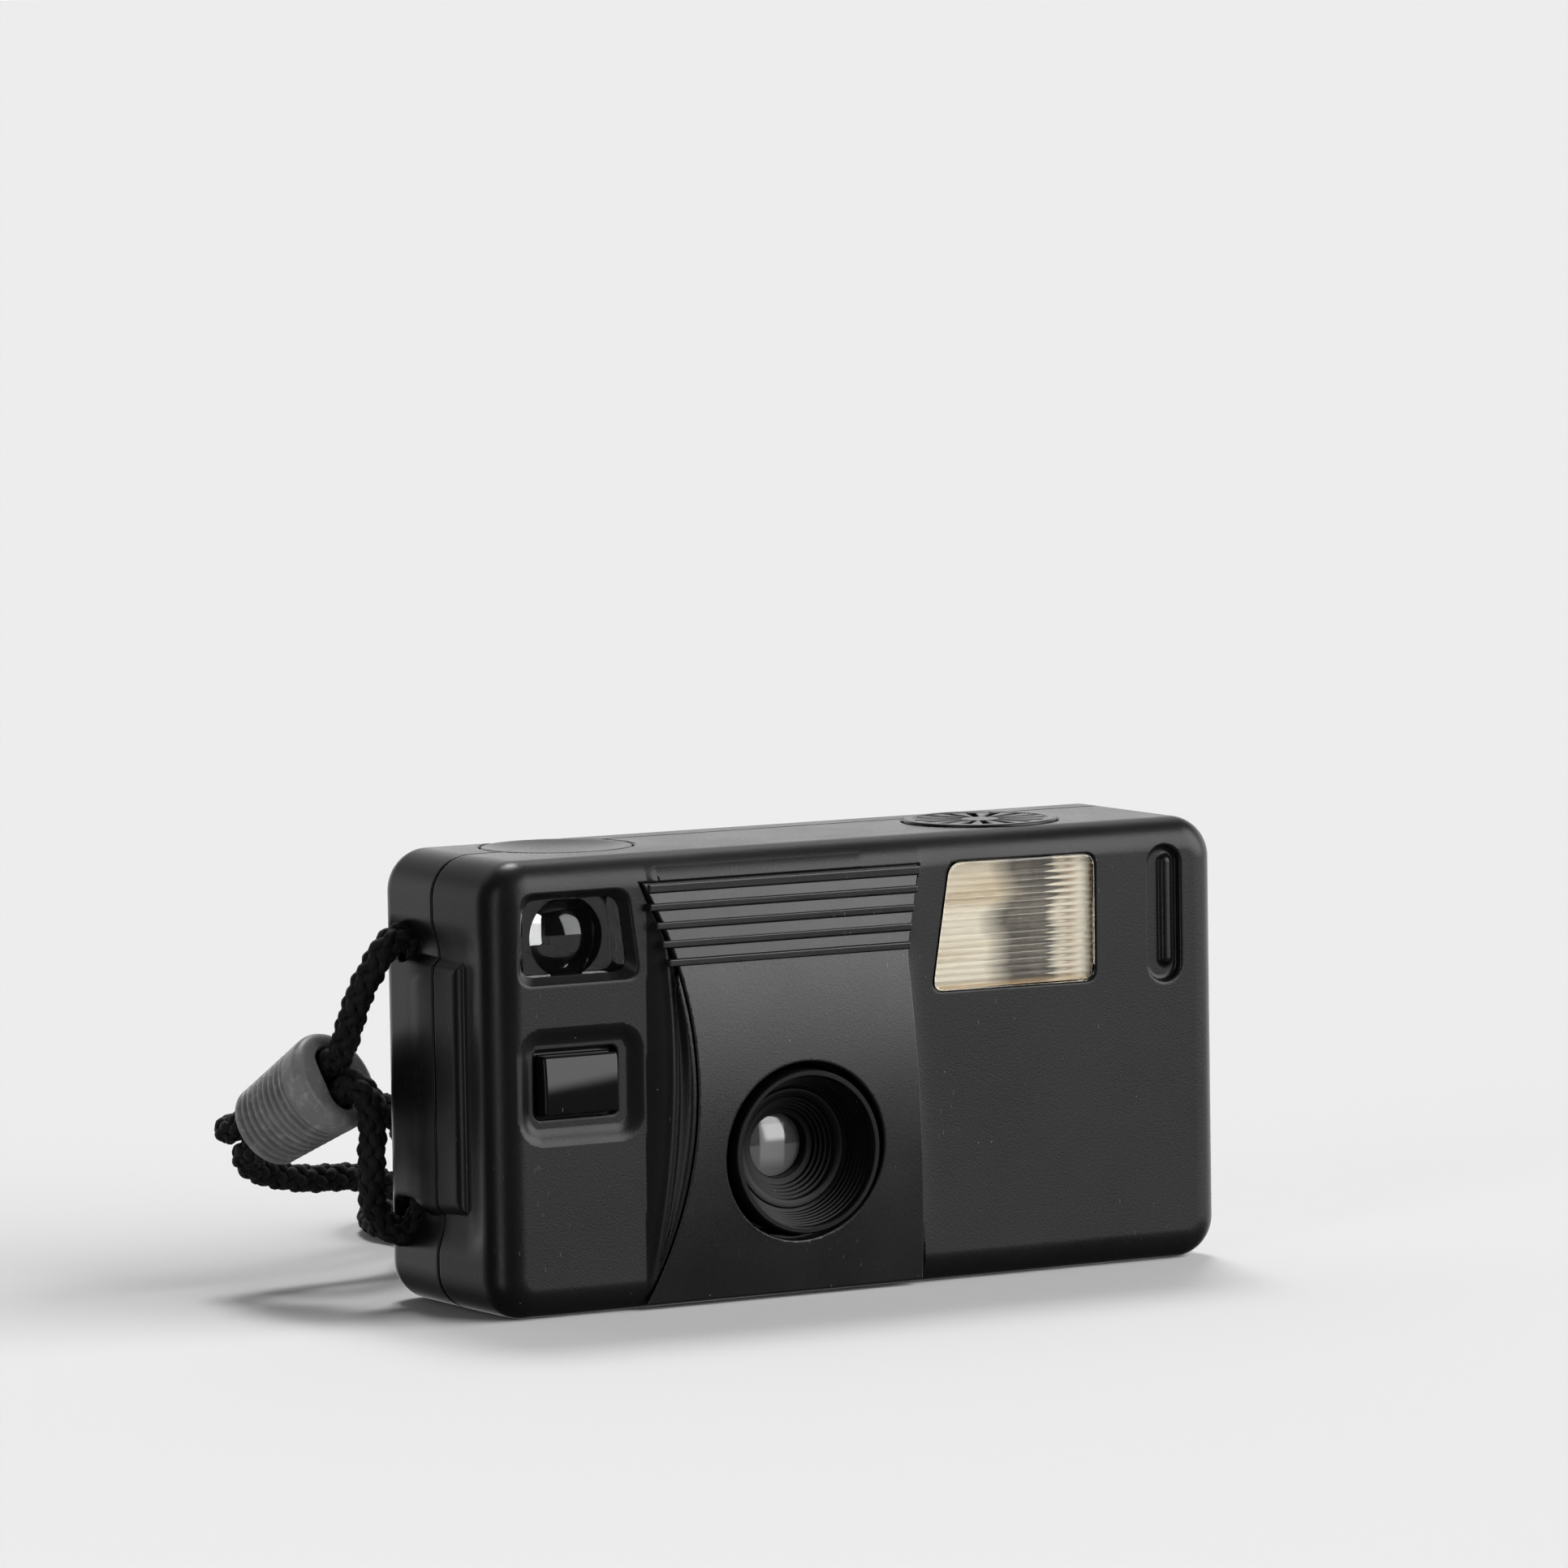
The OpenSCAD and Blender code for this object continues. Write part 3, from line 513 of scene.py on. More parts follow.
def front_cuts(x, y, z):
    """Distance to everything cut into the front face; negative where material is gone."""
    # Sloping walls of the viewfinder recess, then a straight opening.
    finder = outline(x, z, FINDER, 2.2)
    slope = 0.6 * np.clip(y, -1, 2.05)
    cut = soft_max(finder + slope, -y - 3, 0.3)
    # Flash window: a close-fitting opening.
    flash = outline(x, z, FLASH, 1.8)
    cut = np.minimum(cut, np.maximum(flash - 0.12, -y - 3))
    # Opening for the key.
    key = rect(x, z, -48.3, -36.1, 25.8, 34.7, 0.9)
    cut = np.minimum(cut, np.maximum(key, -y - 3))
    # Lens panel pocket and the hole for the lens.
    pocket = np.maximum(panel_area(x, z, 0.22), y - 1.2)
    cut = np.minimum(cut, pocket)
    lens = np.hypot(x - LENS_X, z - LENS_Z) - PANEL_HOLE_R + 0.4
    return np.minimum(cut, lens)


def key_dish(x, z):
    """Depth of the shallow chamfered dish around the key."""
    d = rect(x, z, -51.0, -32.7, 22.4, 37.6, 3.6)
    t = np.clip(-d / 2.1, 0, 1)
    return 0.95 * (t - 0.06 * np.sin(2 * np.pi * t))


def pill(x, y, z):
    """Upright hollow with a rounded rib in its right half."""
    mid = np.hypot(x - 46.3, np.maximum(np.abs(z - 46.5) - 6.6, 0))
    hollow = soft_max(mid - 2.4, y - 1.15, 0.7)
    rib = np.hypot(x - 46.95, np.maximum(np.abs(z - 46.9) - 6.4, 0)) - 0.85
    rib = round_and(rib, 0.3 - y, 0.8)
    return soft_max(hollow, -rib, 0.5)


def side_depth(y, z):
    """Soft hollow in the strap side, before, above and below the bar, and the front cover's draft."""
    along = ease((y - 2.6) / 6.4)
    up = ease((51.0 - z) / 4.6)
    down = ease((z - 7.2) / 5.0)
    ends = np.maximum(ease((z - 44.6) / 1.4), ease((14.4 - z) / 1.4))
    before = 1 - ease((y - 9.0) / 1.2)
    deeper = 1 + 1.0 * ease((y - 12) / 11) * ends
    end = ease((27.8 - y) / 2.0)
    hollow = 0.8 * along * up * down * deeper * end * np.maximum(before, ends)
    return hollow + 0.04 * np.maximum(SEAM_SIDE_Y - y, 0)


def strap_bar(x, y, z):
    t = np.clip((y - 17.0) / 10.5, 0, 0.98)
    lean = 0.1 * (y - 8.6)
    drop = 7.0 * (1 - np.sqrt(1 - t * t))
    plan = soft_max(z - 45.8 + lean + drop, 13.2 - lean + drop - z, 0.3)
    plan = soft_max(plan, 8.6 - y, 0.3)
    crown = 1.3 * np.clip((y - 19.0) / 8, 0, 1) ** 2
    side = -HALF_W + crown - x
    edge = round_and(plan, side, 1.7)
    return soft_max(edge, y - 29.5, 0.3)


def capsule(x, y, z, start, end, r):
    a = np.array(start, float)
    d = np.array(end, float) - a
    t = ((x - a[0]) * d[0] + (y - a[1]) * d[1] + (z - a[2]) * d[2]) / (d @ d)
    t = np.clip(t, 0, 1)
    u = x - a[0] - t * d[0]
    v = y - a[1] - t * d[1]
    w = z - a[2] - t * d[2]
    return np.sqrt(u * u + v * v + w * w) - r


def tunnel(x, y, z):
    """Round way of the cord behind the bar, and its mouths above and below."""
    d = capsule(x, y, z, (-52, 24.2, 13), (-52, 24.2, 46), 2.4)
    d = soft_min(d, capsule(x, y, z, (-52, 24.2, 46), (-58, 23.8, 48.4), 2.2), 0.4)
    return soft_min(d, capsule(x, y, z, (-52, 24.2, 13), (-58, 25.2, 9.6), 2.2), 0.4)


def shell(x, y, z):
    """Both covers before the seam parts them."""
    h = face_height(x, z) - key_dish(x, z)
    side = side_depth(y, z) * np.clip((-45 - x) / 5, 0, 1)
    outer = body_form(x - side, y + h * np.clip((6 - y) / 4, 0, 1), z)
    bar = np.maximum(strap_bar(x, y, z), np.maximum(x + 50, body_form(x, y, z)))
    outer = soft_min(outer, bar, 0.2)
    inner = body_form(x, y, z, WALL)
    block = np.maximum(np.maximum(x + 49.3, y - 26.9), np.maximum(8 - z, z - 51.2))
    inner = np.maximum(inner, -block)
    d = np.maximum(outer, -inner)
    d = soft_max(d, -np.maximum(front_cuts(x, y, z), y - 20), 0.25)
    d = soft_max(d, -pill(x, y, z), 0.5)
    d = np.maximum(d, -tunnel(x, y, z))
    button = np.maximum(np.hypot(x - BUTTON_X, y - BUTTON_Y) - BUTTON_R - 0.22, BODY_H - 5.3 - z)
    dial = np.maximum(np.hypot(x - DIAL_X, y - DIAL_Y) - DIAL_R - 0.22, BODY_H - 1.65 - z)
    spindle = np.hypot(x - DIAL_X, y - DIAL_Y) - 2.2
    d = soft_max(d, -button, 0.3)
    d = soft_max(d, -dial, 0.3)
    return np.maximum(d, -np.maximum(spindle, 50 - z))


def seam(x, y):
    """Negative in front of the seam, which lies further forward at the strap side."""
    return np.minimum(y - SEAM_SIDE_Y, np.maximum(y - SEAM_Y, SEAM_STEP_X - x))


def front_cover_shape(x, y, z):
    return soft_max(shell(x, y, z), seam(x, y) + SEAM_GAP, 0.25)


# --- Back: doors, latch, eyepiece and screws ---
FILM_LOW, FILM_HIGH = node_box("film_door")
CELL_LOW, CELL_HIGH = node_box("battery_door")
EYE_LOW, EYE_HIGH = node_box("viewfinder_eyepiece")
DOOR_GAP = 0.2
SCREWS = [(-50.8, 4.9), (-22.0, 47.5), (35.2, 51.5), (34.9, 5.0)]


def doorway(x, z, low, high, gap, r):
    return rect(x, z, low[0] - gap, high[0] + gap, low[2] - gap, high[2] + gap, r)


def rear_cover_shape(x, y, z):
    d = soft_max(shell(x, y, z), SEAM_GAP - seam(x, y), 0.25)
    deep = 25 - y
    for low, high in ((FILM_LOW, FILM_HIGH), (CELL_LOW, CELL_HIGH)):
        d = soft_max(d, -np.maximum(doorway(x, z, low, high, DOOR_GAP, 1.0), deep), 0.3)
    pocket = doorway(x, z, EYE_LOW, EYE_HIGH, 0.1, 0.3)
    d = np.maximum(d, -np.maximum(pocket, np.maximum(deep, y - 29.65)))
    eye = rect(x, z, -45.5, -38.5, 44.65, 53.15, 0.9) - 0.9 * np.clip((y - 29.65) / 0.35, 0, 1.2)
    d = soft_max(d, -np.maximum(eye, deep), 0.3)
    for sx, sz in SCREWS:
        d = soft_max(d, -np.maximum(np.hypot(x - sx, z - sz) - 1.75, 29.0 - y), 0.2)
    return d


def plate_shape(low, high, extra=None):
    """A door's plate with rounded edges, its hinge knuckle and moulded grip lines."""

    def shape(x, y, z):
        plan = rect(x, z, low[0], high[0] - 0.9, low[2], high[2], 1.0)
        d = round_and(round_and(plan, y - BODY_D, 0.35), BODY_D - WALL - y, 0.3)
        knuckle = np.hypot(x - high[0] + 0.9, y - BODY_D + 0.9) - 0.9
        d = soft_min(d, round_and(knuckle, np.maximum(low[2] - z, z - high[2]), 0.2), 0.2)
        d = np.maximum(d, 0.54 - np.hypot(x - high[0] + 0.9, y - BODY_D + 0.9))
        return d if extra is None else extra(d, x, y, z)

    return shape


def film_door_marks(d, x, y, z):
    low = FILM_LOW
    slot = rect(x, z, low[0] + 1.5, low[0] + 6.8, 17.0, 24.0, 0.6)
    d = soft_max(d, -np.maximum(slot, 24 - y), 0.25)
    # A shallow framed field.
    field = rect(x, z, low[0] + 10, 26, 8.5, 34, 2.5)
    return soft_max(d, -np.maximum(np.abs(field) - 0.35, BODY_D - 0.3 - y), 0.3)


def battery_door_marks(d, x, y, z):
    wave = np.abs((z - 29.45) / 1.4 - np.round((z - 29.45) / 1.4)) * 1.4 - 0.35
    field = rect(x, z, 38.6, 43.0, 26.2, 32.7, 0.8)
    return soft_max(d, -np.maximum(np.maximum(wave, field), BODY_D - 0.4 - y), 0.25)


# --- Front pieces ---
RIBS = [(54.1, 55.2, -32.0, 8.3), (51.8, 52.7, -32.1, 7.75), (49.4, 50.3, -31.4, 6.95),
        (47.0, 47.9, -30.7, 6.4), (44.6, 45.5, -29.9, 6.0)]


def lens_panel_shape(x, y, z):
    plan = panel_area(x, z)
    face = -bulge(z) - y
    d = round_and(plan, face, 0.22)
    d = np.maximum(d, y - 0.95)
    for low, high, left, right in RIBS:
        middle = (low + high) / 2
        rib = np.maximum(np.abs(z - middle) - (high - low) / 2, np.maximum(left - x, x - right))
        rise = -bulge(middle) - 0.42 - 0.07 * (z - middle) - y
        rib = np.maximum(round_and(rib, rise, 0.16), y - 0.5)
        d = np.minimum(d, rib)
    hole = PANEL_HOLE_R - np.hypot(x - LENS_X, z - LENS_Z)
    return soft_max(d, hole, 0.3)


def key_shape(x, y, z):
    low, high = node_box("flash_button")
    block = rect(x, z, KEY_X - 5.45, KEY_X + 5.45, KEY_Z - 3.8, KEY_Z + 3.8, 0.5)
    u = (x - KEY_X) / 5.4
    v = (z - KEY_Z) / 3.8
    crown = 0.08 * u * u + 0.22 * (v + 0.3) ** 2 - 0.07 * u * v
    block = round_and(round_and(block, low[1] - y + crown, 0.45), y - 2.8, 0.1)
    flange = rect(x, z, low[0], high[0], low[2], high[2], 0.4)
    return np.minimum(block, np.maximum(flange, np.maximum(2.1 - y, y - high[1])))


def dial_shape(x, y, z):
    foot = node_box("top_dial")[0][2]
    r = np.hypot(x - DIAL_X, y - DIAL_Y)
    top = BODY_H + 0.35
    disc = round_and(r - DIAL_R, z - top, 0.25)
    disc = np.maximum(disc, BODY_H - 1.4 - z)
    dish = np.maximum(r - 8.9, top - 0.1 - z)
    disc = soft_max(disc, -dish, 0.15)
    turn = np.arctan2(y - DIAL_Y, x - DIAL_X)
    part = 2 * np.pi / DIAL_SLOTS
    near = (np.mod(turn + part / 2, part) - part / 2) * r
    slot = np.maximum(np.abs(near) - 0.25 - 0.05 * r, np.maximum(2.6 - r, r - 8.6))
    slot = np.maximum(slot, top - 0.9 - z)
    disc = soft_max(disc, -slot, 0.2)
    hub = np.maximum(r - 2.0, np.maximum(z - BODY_H + 0.3, 56.72 - z))
    pin = np.maximum(r - 1.2, np.maximum(z - 57.5, foot - z))
    return np.minimum(disc, np.minimum(hub, pin))


# --- Strap ---
CORD_D = 4.0
CORE_R = 1.25
STRANDS = 5
STRAND_PITCH = 16.0
TUBE_SIDES = 8
PATH_POINTS = 320
ROUTE_OUT = [(-52, 24.2, 34), (-52, 24.2, 39), (-52, 24.2, 43.4), (-52.5, 24.2, 46), (-53.8, 24, 48),
             (-55.6, 23.8, 48), (-57.4, 24, 46.7), (-58.8, 24.6, 44.2), (-60, 25.8, 41.2), (-60.7, 27, 38),
             (-61, 28.4, 35), (-61.1, 30, 32.7)]
ROUTE_LOOP = [(-67, 47.4, 22), (-67.3, 51, 21), (-63.4, 53.5, 21.5), (-57, 52, 23.3), (-50, 50.7, 24.2),
              (-42, 53, 21.3), (-35.2, 61, 13.8), (-30.5, 68, 9.3), (-25.5, 74, 6.2), (-19.5, 80, 3),
              (-11, 85, 2.1), (-6, 92, 2.1), (-14, 98, 2.1), (-25, 92, 2.1), (-29.2, 82.5, 2.1),
              (-29, 74, 2.2), (-31.6, 65.5, 4.4), (-38.5, 56.5, 10), (-47, 53.4, 12.9), (-56, 52.2, 13.6),
              (-63, 51, 15.4), (-66, 48.4, 17.8)]
ROUTE_BACK = [(-60, 28.2, 28.7), (-59.2, 26.3, 27), (-58.9, 25.6, 23.6), (-59, 25.8, 20), (-59, 26, 16.5),
              (-58.7, 26, 13.2), (-57.4, 25.4, 10.6), (-55.4, 24.8, 9.4), (-53.5, 24.3, 10.5),
              (-52.2, 24.2, 13.4), (-52, 24.2, 18), (-52, 24.2, 24)]
BEAD_LARGE_AT = np.array([-61.0, 31.0, 29.5])
BEAD_SMALL_AT = np.array([-65.5, 43.0, 22.0])
BEAD_LARGE_R = 6.75
BEAD_SMALL_R = 5.55
RIBS_FROM = 3.7
RIB_PITCH = 1.22
BEAD_LENGTH = float(np.linalg.norm(BEAD_SMALL_AT - BEAD_LARGE_AT))
BEAD_AXIS = (BEAD_SMALL_AT - BEAD_LARGE_AT) / BEAD_LENGTH
BEAD_SIDE = np.array([0, 0, 1]) - BEAD_AXIS[2] * BEAD_AXIS
BEAD_SIDE = BEAD_SIDE / np.linalg.norm(BEAD_SIDE)
BEAD_ACROSS = np.cross(BEAD_AXIS, BEAD_SIDE)
STRAND_OFFSET = CORD_D / 2 + 0.12


def cord_route():
    upper = [BEAD_LARGE_AT + STRAND_OFFSET * BEAD_SIDE, BEAD_SMALL_AT + STRAND_OFFSET * BEAD_SIDE]
    lower = [BEAD_SMALL_AT - STRAND_OFFSET * BEAD_SIDE, BEAD_LARGE_AT - STRAND_OFFSET * BEAD_SIDE]
    return np.array([*ROUTE_OUT, *upper, *ROUTE_LOOP, *lower, *ROUTE_BACK], float)


def smooth_line(points, gap):
    """A smooth curve through the points, sampled at an even gap."""
    p = np.vstack([2 * points[0] - points[1], points, 2 * points[-1] - points[-2]])
    fine = []
    for k in range(1, len(p) - 2):
        a, b, c, d = p[k - 1:k + 3]
        # Knots by the root of the spacing keep the curve from looping where points crowd.
        t0 = 0.0
        t1 = t0 + np.linalg.norm(b - a) ** 0.5
        t2 = t1 + np.linalg.norm(c - b) ** 0.5
        t3 = t2 + np.linalg.norm(d - c) ** 0.5
        t = np.linspace(t1, t2, 24, endpoint=False)[:, None]
        a1 = (t1 - t) / (t1 - t0) * a + (t - t0) / (t1 - t0) * b
        a2 = (t2 - t) / (t2 - t1) * b + (t - t1) / (t2 - t1) * c
        a3 = (t3 - t) / (t3 - t2) * c + (t - t2) / (t3 - t2) * d
        b1 = (t2 - t) / (t2 - t0) * a1 + (t - t0) / (t2 - t0) * a2
        b2 = (t3 - t) / (t3 - t1) * a2 + (t - t1) / (t3 - t1) * a3
        fine.append((t2 - t) / (t2 - t1) * b1 + (t - t1) / (t2 - t1) * b2)
    line = np.vstack([*fine, points[-1:]])
    along = np.concatenate([[0], np.cumsum(np.linalg.norm(np.diff(line, axis=0), axis=1))])
    at = np.linspace(0, along[-1], int(along[-1] / gap) + 1)
    return np.stack([np.interp(at, along, line[:, a]) for a in range(3)], 1), at


def side_directions(line):
    """Two directions across a line at each of its points, turned as little as possible."""
    t = np.gradient(line, axis=0)
    t /= np.linalg.norm(t, axis=1)[:, None]
    n = np.zeros_like(t)
    v = np.array([1.0, 0, 0])
    for k in range(len(t)):
        v = v - t[k] * (v @ t[k])
        v /= np.linalg.norm(v)
        n[k] = v
    return n, np.cross(t, n)


def tube_rings(centre, wide, out, half_wide, half_thick):
    """Points of an oval tube round a line, one ring of TUBE_SIDES points for each of the line's."""
    rows = []
    for k in range(TUBE_SIDES):
        a = 2 * np.pi * k / TUBE_SIDES
        rows.append(centre + wide * (half_wide * math.cos(a)) + out * (half_thick * math.sin(a)))
    return np.stack(rows, 1).reshape(-1, 3)


def tube_faces(rings, offset):
    i = np.arange(rings - 1)[:, None] * TUBE_SIDES + offset
    k = np.arange(TUBE_SIDES)[None, :]
    n = (k + 1) % TUBE_SIDES
    return np.stack([i + k, i + n, i + TUBE_SIDES + n, i + TUBE_SIDES + k], 2).reshape(-1, 4)


def strand(line, at, n, b, phase, hand):
    """One flat strand that winds round the cord and weaves over and under the others."""
    turn = hand * 2 * np.pi * at / STRAND_PITCH + phase
    weave = np.cos(STRANDS * turn + (0 if hand > 0 else np.pi))
    r = 1.2 + 0.3 * weave
    centre = line + n * (r * np.cos(turn))[:, None] + b * (r * np.sin(turn))[:, None]
    out = n * np.cos(turn)[:, None] + b * np.sin(turn)[:, None]
    along = np.gradient(centre, axis=0)
    along /= np.linalg.norm(along, axis=1)[:, None]
    return tube_rings(centre, np.cross(along, out), out, 0.74, 0.5)


def build_cord(material):
    line, at = smooth_line(cord_route(), 0.28)
    n, b = side_directions(line)
    tubes = []
    for hand in (1, -1):
        for k in range(STRANDS):
            tubes.append(strand(line, at, n, b, 2 * np.pi * k / STRANDS, hand))
    # A core fills the middle.
    tubes.append(tube_rings(line, n, b, CORE_R, CORE_R))
    quads = [tube_faces(len(line), k * len(line) * TUBE_SIDES) for k in range(len(tubes))]
    obj = new_piece("braided_cord", np.vstack(tubes), np.concatenate(quads), material, "camera_body",
                    ("strap_cord",))
    step = max(1, len(line) // PATH_POINTS)
    return obj, place(np.vstack([line[::step], line[-1:]]))


def bead_shape(x, y, z):
    """The cord lock in its own axes: z along it from the large end, x across, y to the side."""
    r = np.hypot(x, y)
    taper = np.clip((z - 1.5) / (BEAD_LENGTH - 1.5), 0, 1)
    wide = BEAD_LARGE_R + (BEAD_SMALL_R - BEAD_LARGE_R) * taper
    ribs = np.clip((z - RIBS_FROM) / 0.25, 0, 1) * np.clip((BEAD_LENGTH - 0.5 - z) / 0.25, 0, 1)
    groove = (np.mod((z - RIBS_FROM) / RIB_PITCH + 0.5, 1) - 0.5) * RIB_PITCH
    wide = wide - 0.5 * ribs * np.exp(-(groove / 0.27) ** 2)
    d = round_and(r - wide, -z, 1.3)
    d = round_and(d, z - BEAD_LENGTH, 0.5)
    # A long round hole for the two strands, flared at its mouth.
    slot = np.hypot(x, np.maximum(np.abs(y) - STRAND_OFFSET, 0)) - 2.15
    slot = slot - 0.6 * np.exp(-np.abs(z) / 0.5) - 0.3 * np.exp(-np.abs(z - BEAD_LENGTH) / 0.4)
    return soft_max(d * 0.9, -slot, 0.4)


def build_bead(material):
    xs = np.linspace(-7.1, 7.1, 62)
    zs = np.linspace(-0.4, BEAD_LENGTH + 0.4, 190)
    points, quads, normals = skin(bead_shape, xs, xs, zs)
    axes = np.array([BEAD_ACROSS, BEAD_SIDE, BEAD_AXIS])
    if np.linalg.det(axes) < 0:
        quads = quads[:, ::-1]
    points = BEAD_LARGE_AT + points @ axes
    normals = normals @ axes
    return new_piece("cord_lock", points, quads, material, "camera_body", ("strap_bead",),
                     normals)


# --- Materials of this camera ---
def cord_material():
    s = Shader("cord", Roughness=0.7, Specular_IOR_Level=0.25, Sheen_Weight=0.05, Sheen_Roughness=0.4)
    fibre = s.noise(1, 3, 0.6, s.scaled((2600, 2600, 900), (30, 20, 40)))
    cloud = s.noise(120, 2)
    dark = s.mix(s.remap(fibre, 0.3, 0.75), (0.002, 0.002, 0.002), (0.014, 0.014, 0.0145))
    s.join(s.mix(s.remap(cloud, 0.45, 0.8), dark, (0.018, 0.018, 0.0185)), s.bsdf.inputs["Base Color"])
    s.join(s.bump(fibre, 0.8, 0.0002), s.bsdf.inputs["Normal"])
    return s.mat


def bead_material():
    s = Shader("cord_lock", IOR=1.46, Specular_IOR_Level=0.5)
    cloud = s.noise(210, 3, 0.6)
    fine = s.noise(2600, 2, 0.6)
    worn = s.remap(s.noise(620, 3, 0.7), 0.52, 0.75)
    tone = s.mix(s.remap(cloud, 0.3, 0.7), (0.14, 0.14, 0.142), (0.19, 0.19, 0.193))
    s.join(s.mix(worn, tone, (0.3, 0.3, 0.305)), s.bsdf.inputs["Base Color"])
    s.join(s.remap(cloud, 0.3, 0.7, 0.34, 0.5), s.bsdf.inputs["Roughness"])
    s.join(s.bump(fine, 0.2, 0.00005), s.bsdf.inputs["Normal"])
    return s.mat


def lens_coat_material():
    """The front element, its colour painted with a pale upright pane of painted window reflection and painted
    light that makes its lower half paler.
    """
    s = Shader("lens_coat", IOR=1.5, Specular_IOR_Level=0.5, Coat_Weight=0.6, Coat_Roughness=0.02)
    split = s.add("ShaderNodeSeparateXYZ")
    s.join(s.coords, split.inputs[0])
    height = split.outputs["Z"]
    smear = s.noise(700, 4, 0.6)
    # Painted reflection: a pale upright pane in the glass, where a window's glint would be.
    painted_window_glint = s.math("MULTIPLY", s.remap(split.outputs["X"], (LENS_X - 2.2) * MM, (LENS_X - 1.9) * MM),
                  s.remap(split.outputs["X"], (LENS_X + 1.7) * MM, (LENS_X + 1.4) * MM))
    painted_window_glint = s.math("MULTIPLY", painted_window_glint, s.remap(height, (LENS_Z + 2.9) * MM, (LENS_Z + 2.6) * MM))
    shade = s.mix(s.remap(smear, 0.3, 0.7), (0.05, 0.05, 0.051), (0.08, 0.08, 0.081))
    # Painted light: the glass is paler below its middle.
    shade = s.mix(s.remap(height, (LENS_Z + 0.1) * MM, (LENS_Z - 0.1) * MM), shade, (0.13, 0.13, 0.13))
    # The painted window reflection, fading out towards its foot.
    shade = s.mix(s.math("MULTIPLY", painted_window_glint, s.remap(height, (LENS_Z - 3.2) * MM, (LENS_Z - 1.6) * MM)), shade,
                  (0.24, 0.24, 0.24))
    s.join(shade, s.bsdf.inputs["Base Color"])
    s.join(s.remap(smear, 0.3, 0.7, 0.08, 0.16), s.bsdf.inputs["Roughness"])
    return s.mat


def flash_back_material():
    """Cream prisms behind the window, bright at the left, dark and blotchy in the middle and toothed at the
    right.
    """
    s = Shader("flash_prisms", IOR=1.49, Coat_Weight=0.6, Coat_Roughness=0.08)
    split = s.add("ShaderNodeSeparateXYZ")
    s.join(s.coords, split.inputs[0])
    across = s.remap(split.outputs["X"], 10.5 * MM, 35.5 * MM)
    tooth = s.math("PINGPONG", split.outputs["Z"], 0.45 * MM)
    tooth = s.math("DIVIDE", tooth, 0.45 * MM)
    band = s.noise(1, 2, 0.5, s.scaled((20, 20, 260)))
    streak = s.noise(1, 4, 0.65, s.scaled((60, 60, 1100)))
    blotch = s.noise(130, 4, 0.6, s.scaled((1.6, 1, 1)))
    amber = (0.62, 0.40, 0.17)
    cream = (1.0, 0.95, 0.84)
    pale = s.mix(s.remap(band, 0.32, 0.5), (0.80, 0.70, 0.54), cream)
    pale = s.mix(s.remap(streak, 0.42, 0.3), pale, (0.66, 0.55, 0.40))
    # Dark blotches in the middle, broken into fine level lines by the teeth.
    dark_blotch_tone = s.mix(s.remap(blotch, 0.36, 0.62), (0.035, 0.031, 0.028), (0.19, 0.17, 0.145))
    dark_blotch_tone = s.mix(s.math("MULTIPLY", tooth, s.remap(blotch, 0.6, 0.4)), dark_blotch_tone, (0.13, 0.115, 0.10))
    wander = s.math("ADD", across, s.math("MULTIPLY", s.math("SUBTRACT", band, 0.5), 0.35))
    dark_middle_mask = s.math("MULTIPLY", s.remap(wander, 0.34, 0.5), s.remap(wander, 0.82, 0.74))
    # Saw teeth at the right, with amber roots.
    saw = s.math("ADD", s.math("MULTIPLY", tooth, 0.16), 0.70)
    sharp = s.remap(s.math("SUBTRACT", across, saw), 0.0, 0.02)
    teeth = s.mix(s.remap(tooth, 0.25, 0.75), cream, (0.42, 0.31, 0.2))
    teeth = s.mix(s.remap(across, 0.86, 0.93), teeth, cream)
    tone = s.mix(dark_middle_mask, pale, dark_blotch_tone)
    tone = s.mix(sharp, tone, teeth)
    rim = s.math("MAXIMUM", s.remap(across, 0.985, 1.0), s.remap(split.outputs["Z"], 39.3 * MM, 38.5 * MM))
    tone = s.mix(s.math("MULTIPLY", rim, 0.8), tone, amber)
    s.join(tone, s.bsdf.inputs["Base Color"])
    s.join(s.remap(streak, 0.3, 0.7, 0.2, 0.42), s.bsdf.inputs["Roughness"])
    return s.mat


def floor_material():
    s = Shader("floor", Roughness=0.9, Specular_IOR_Level=0.0)
    s.bsdf.inputs["Base Color"].default_value = (0.645, 0.645, 0.645, 1)
    return s.mat


# --- Building ---
add_camera()

CORD = cord_material()
LOCK = bead_material()
cord, cord_path = build_cord(CORD)
bead = build_bead(LOCK)

SHELL = plastic("shell_plastic", (0.006, 0.006, 0.0063), 0.31, specular=0.28)
PANEL = plastic("panel_plastic", (0.008, 0.008, 0.0084), 0.315, specular=0.5, grain=0.1, scratched=0.8)
GLOSS = plastic("gloss_black", (0.005, 0.005, 0.0055), 0.08, specular=0.26, grain=0.0, scratched=0.9)
INNER = plastic("inner_black", (0.004, 0.004, 0.004), 0.33, grain=0.1, scratched=0.1, dusty=0.2)
BARREL = plastic("lens_black", (0.003, 0.003, 0.003), 0.34, specular=0.17, grain=0.1, scratched=0.1,
                 dusty=0.8)
MATT = plastic("finder_black", (0.002, 0.002, 0.002), 0.75, specular=0.04, grain=0.1, scratched=0.0,
               dusty=0.1)
CLEAR = clear("clear", (0.97, 0.975, 0.975), rough=0.0)
FLASH_CLEAR = clear("flash_clear", (1.0, 0.985, 0.94), rough=0.02)
FLASH_BACK = flash_back_material()
MIRROR = metal("reflector", (0.85, 0.85, 0.83), 0.12)
STEEL = metal("steel", (0.55, 0.55, 0.56), 0.3)
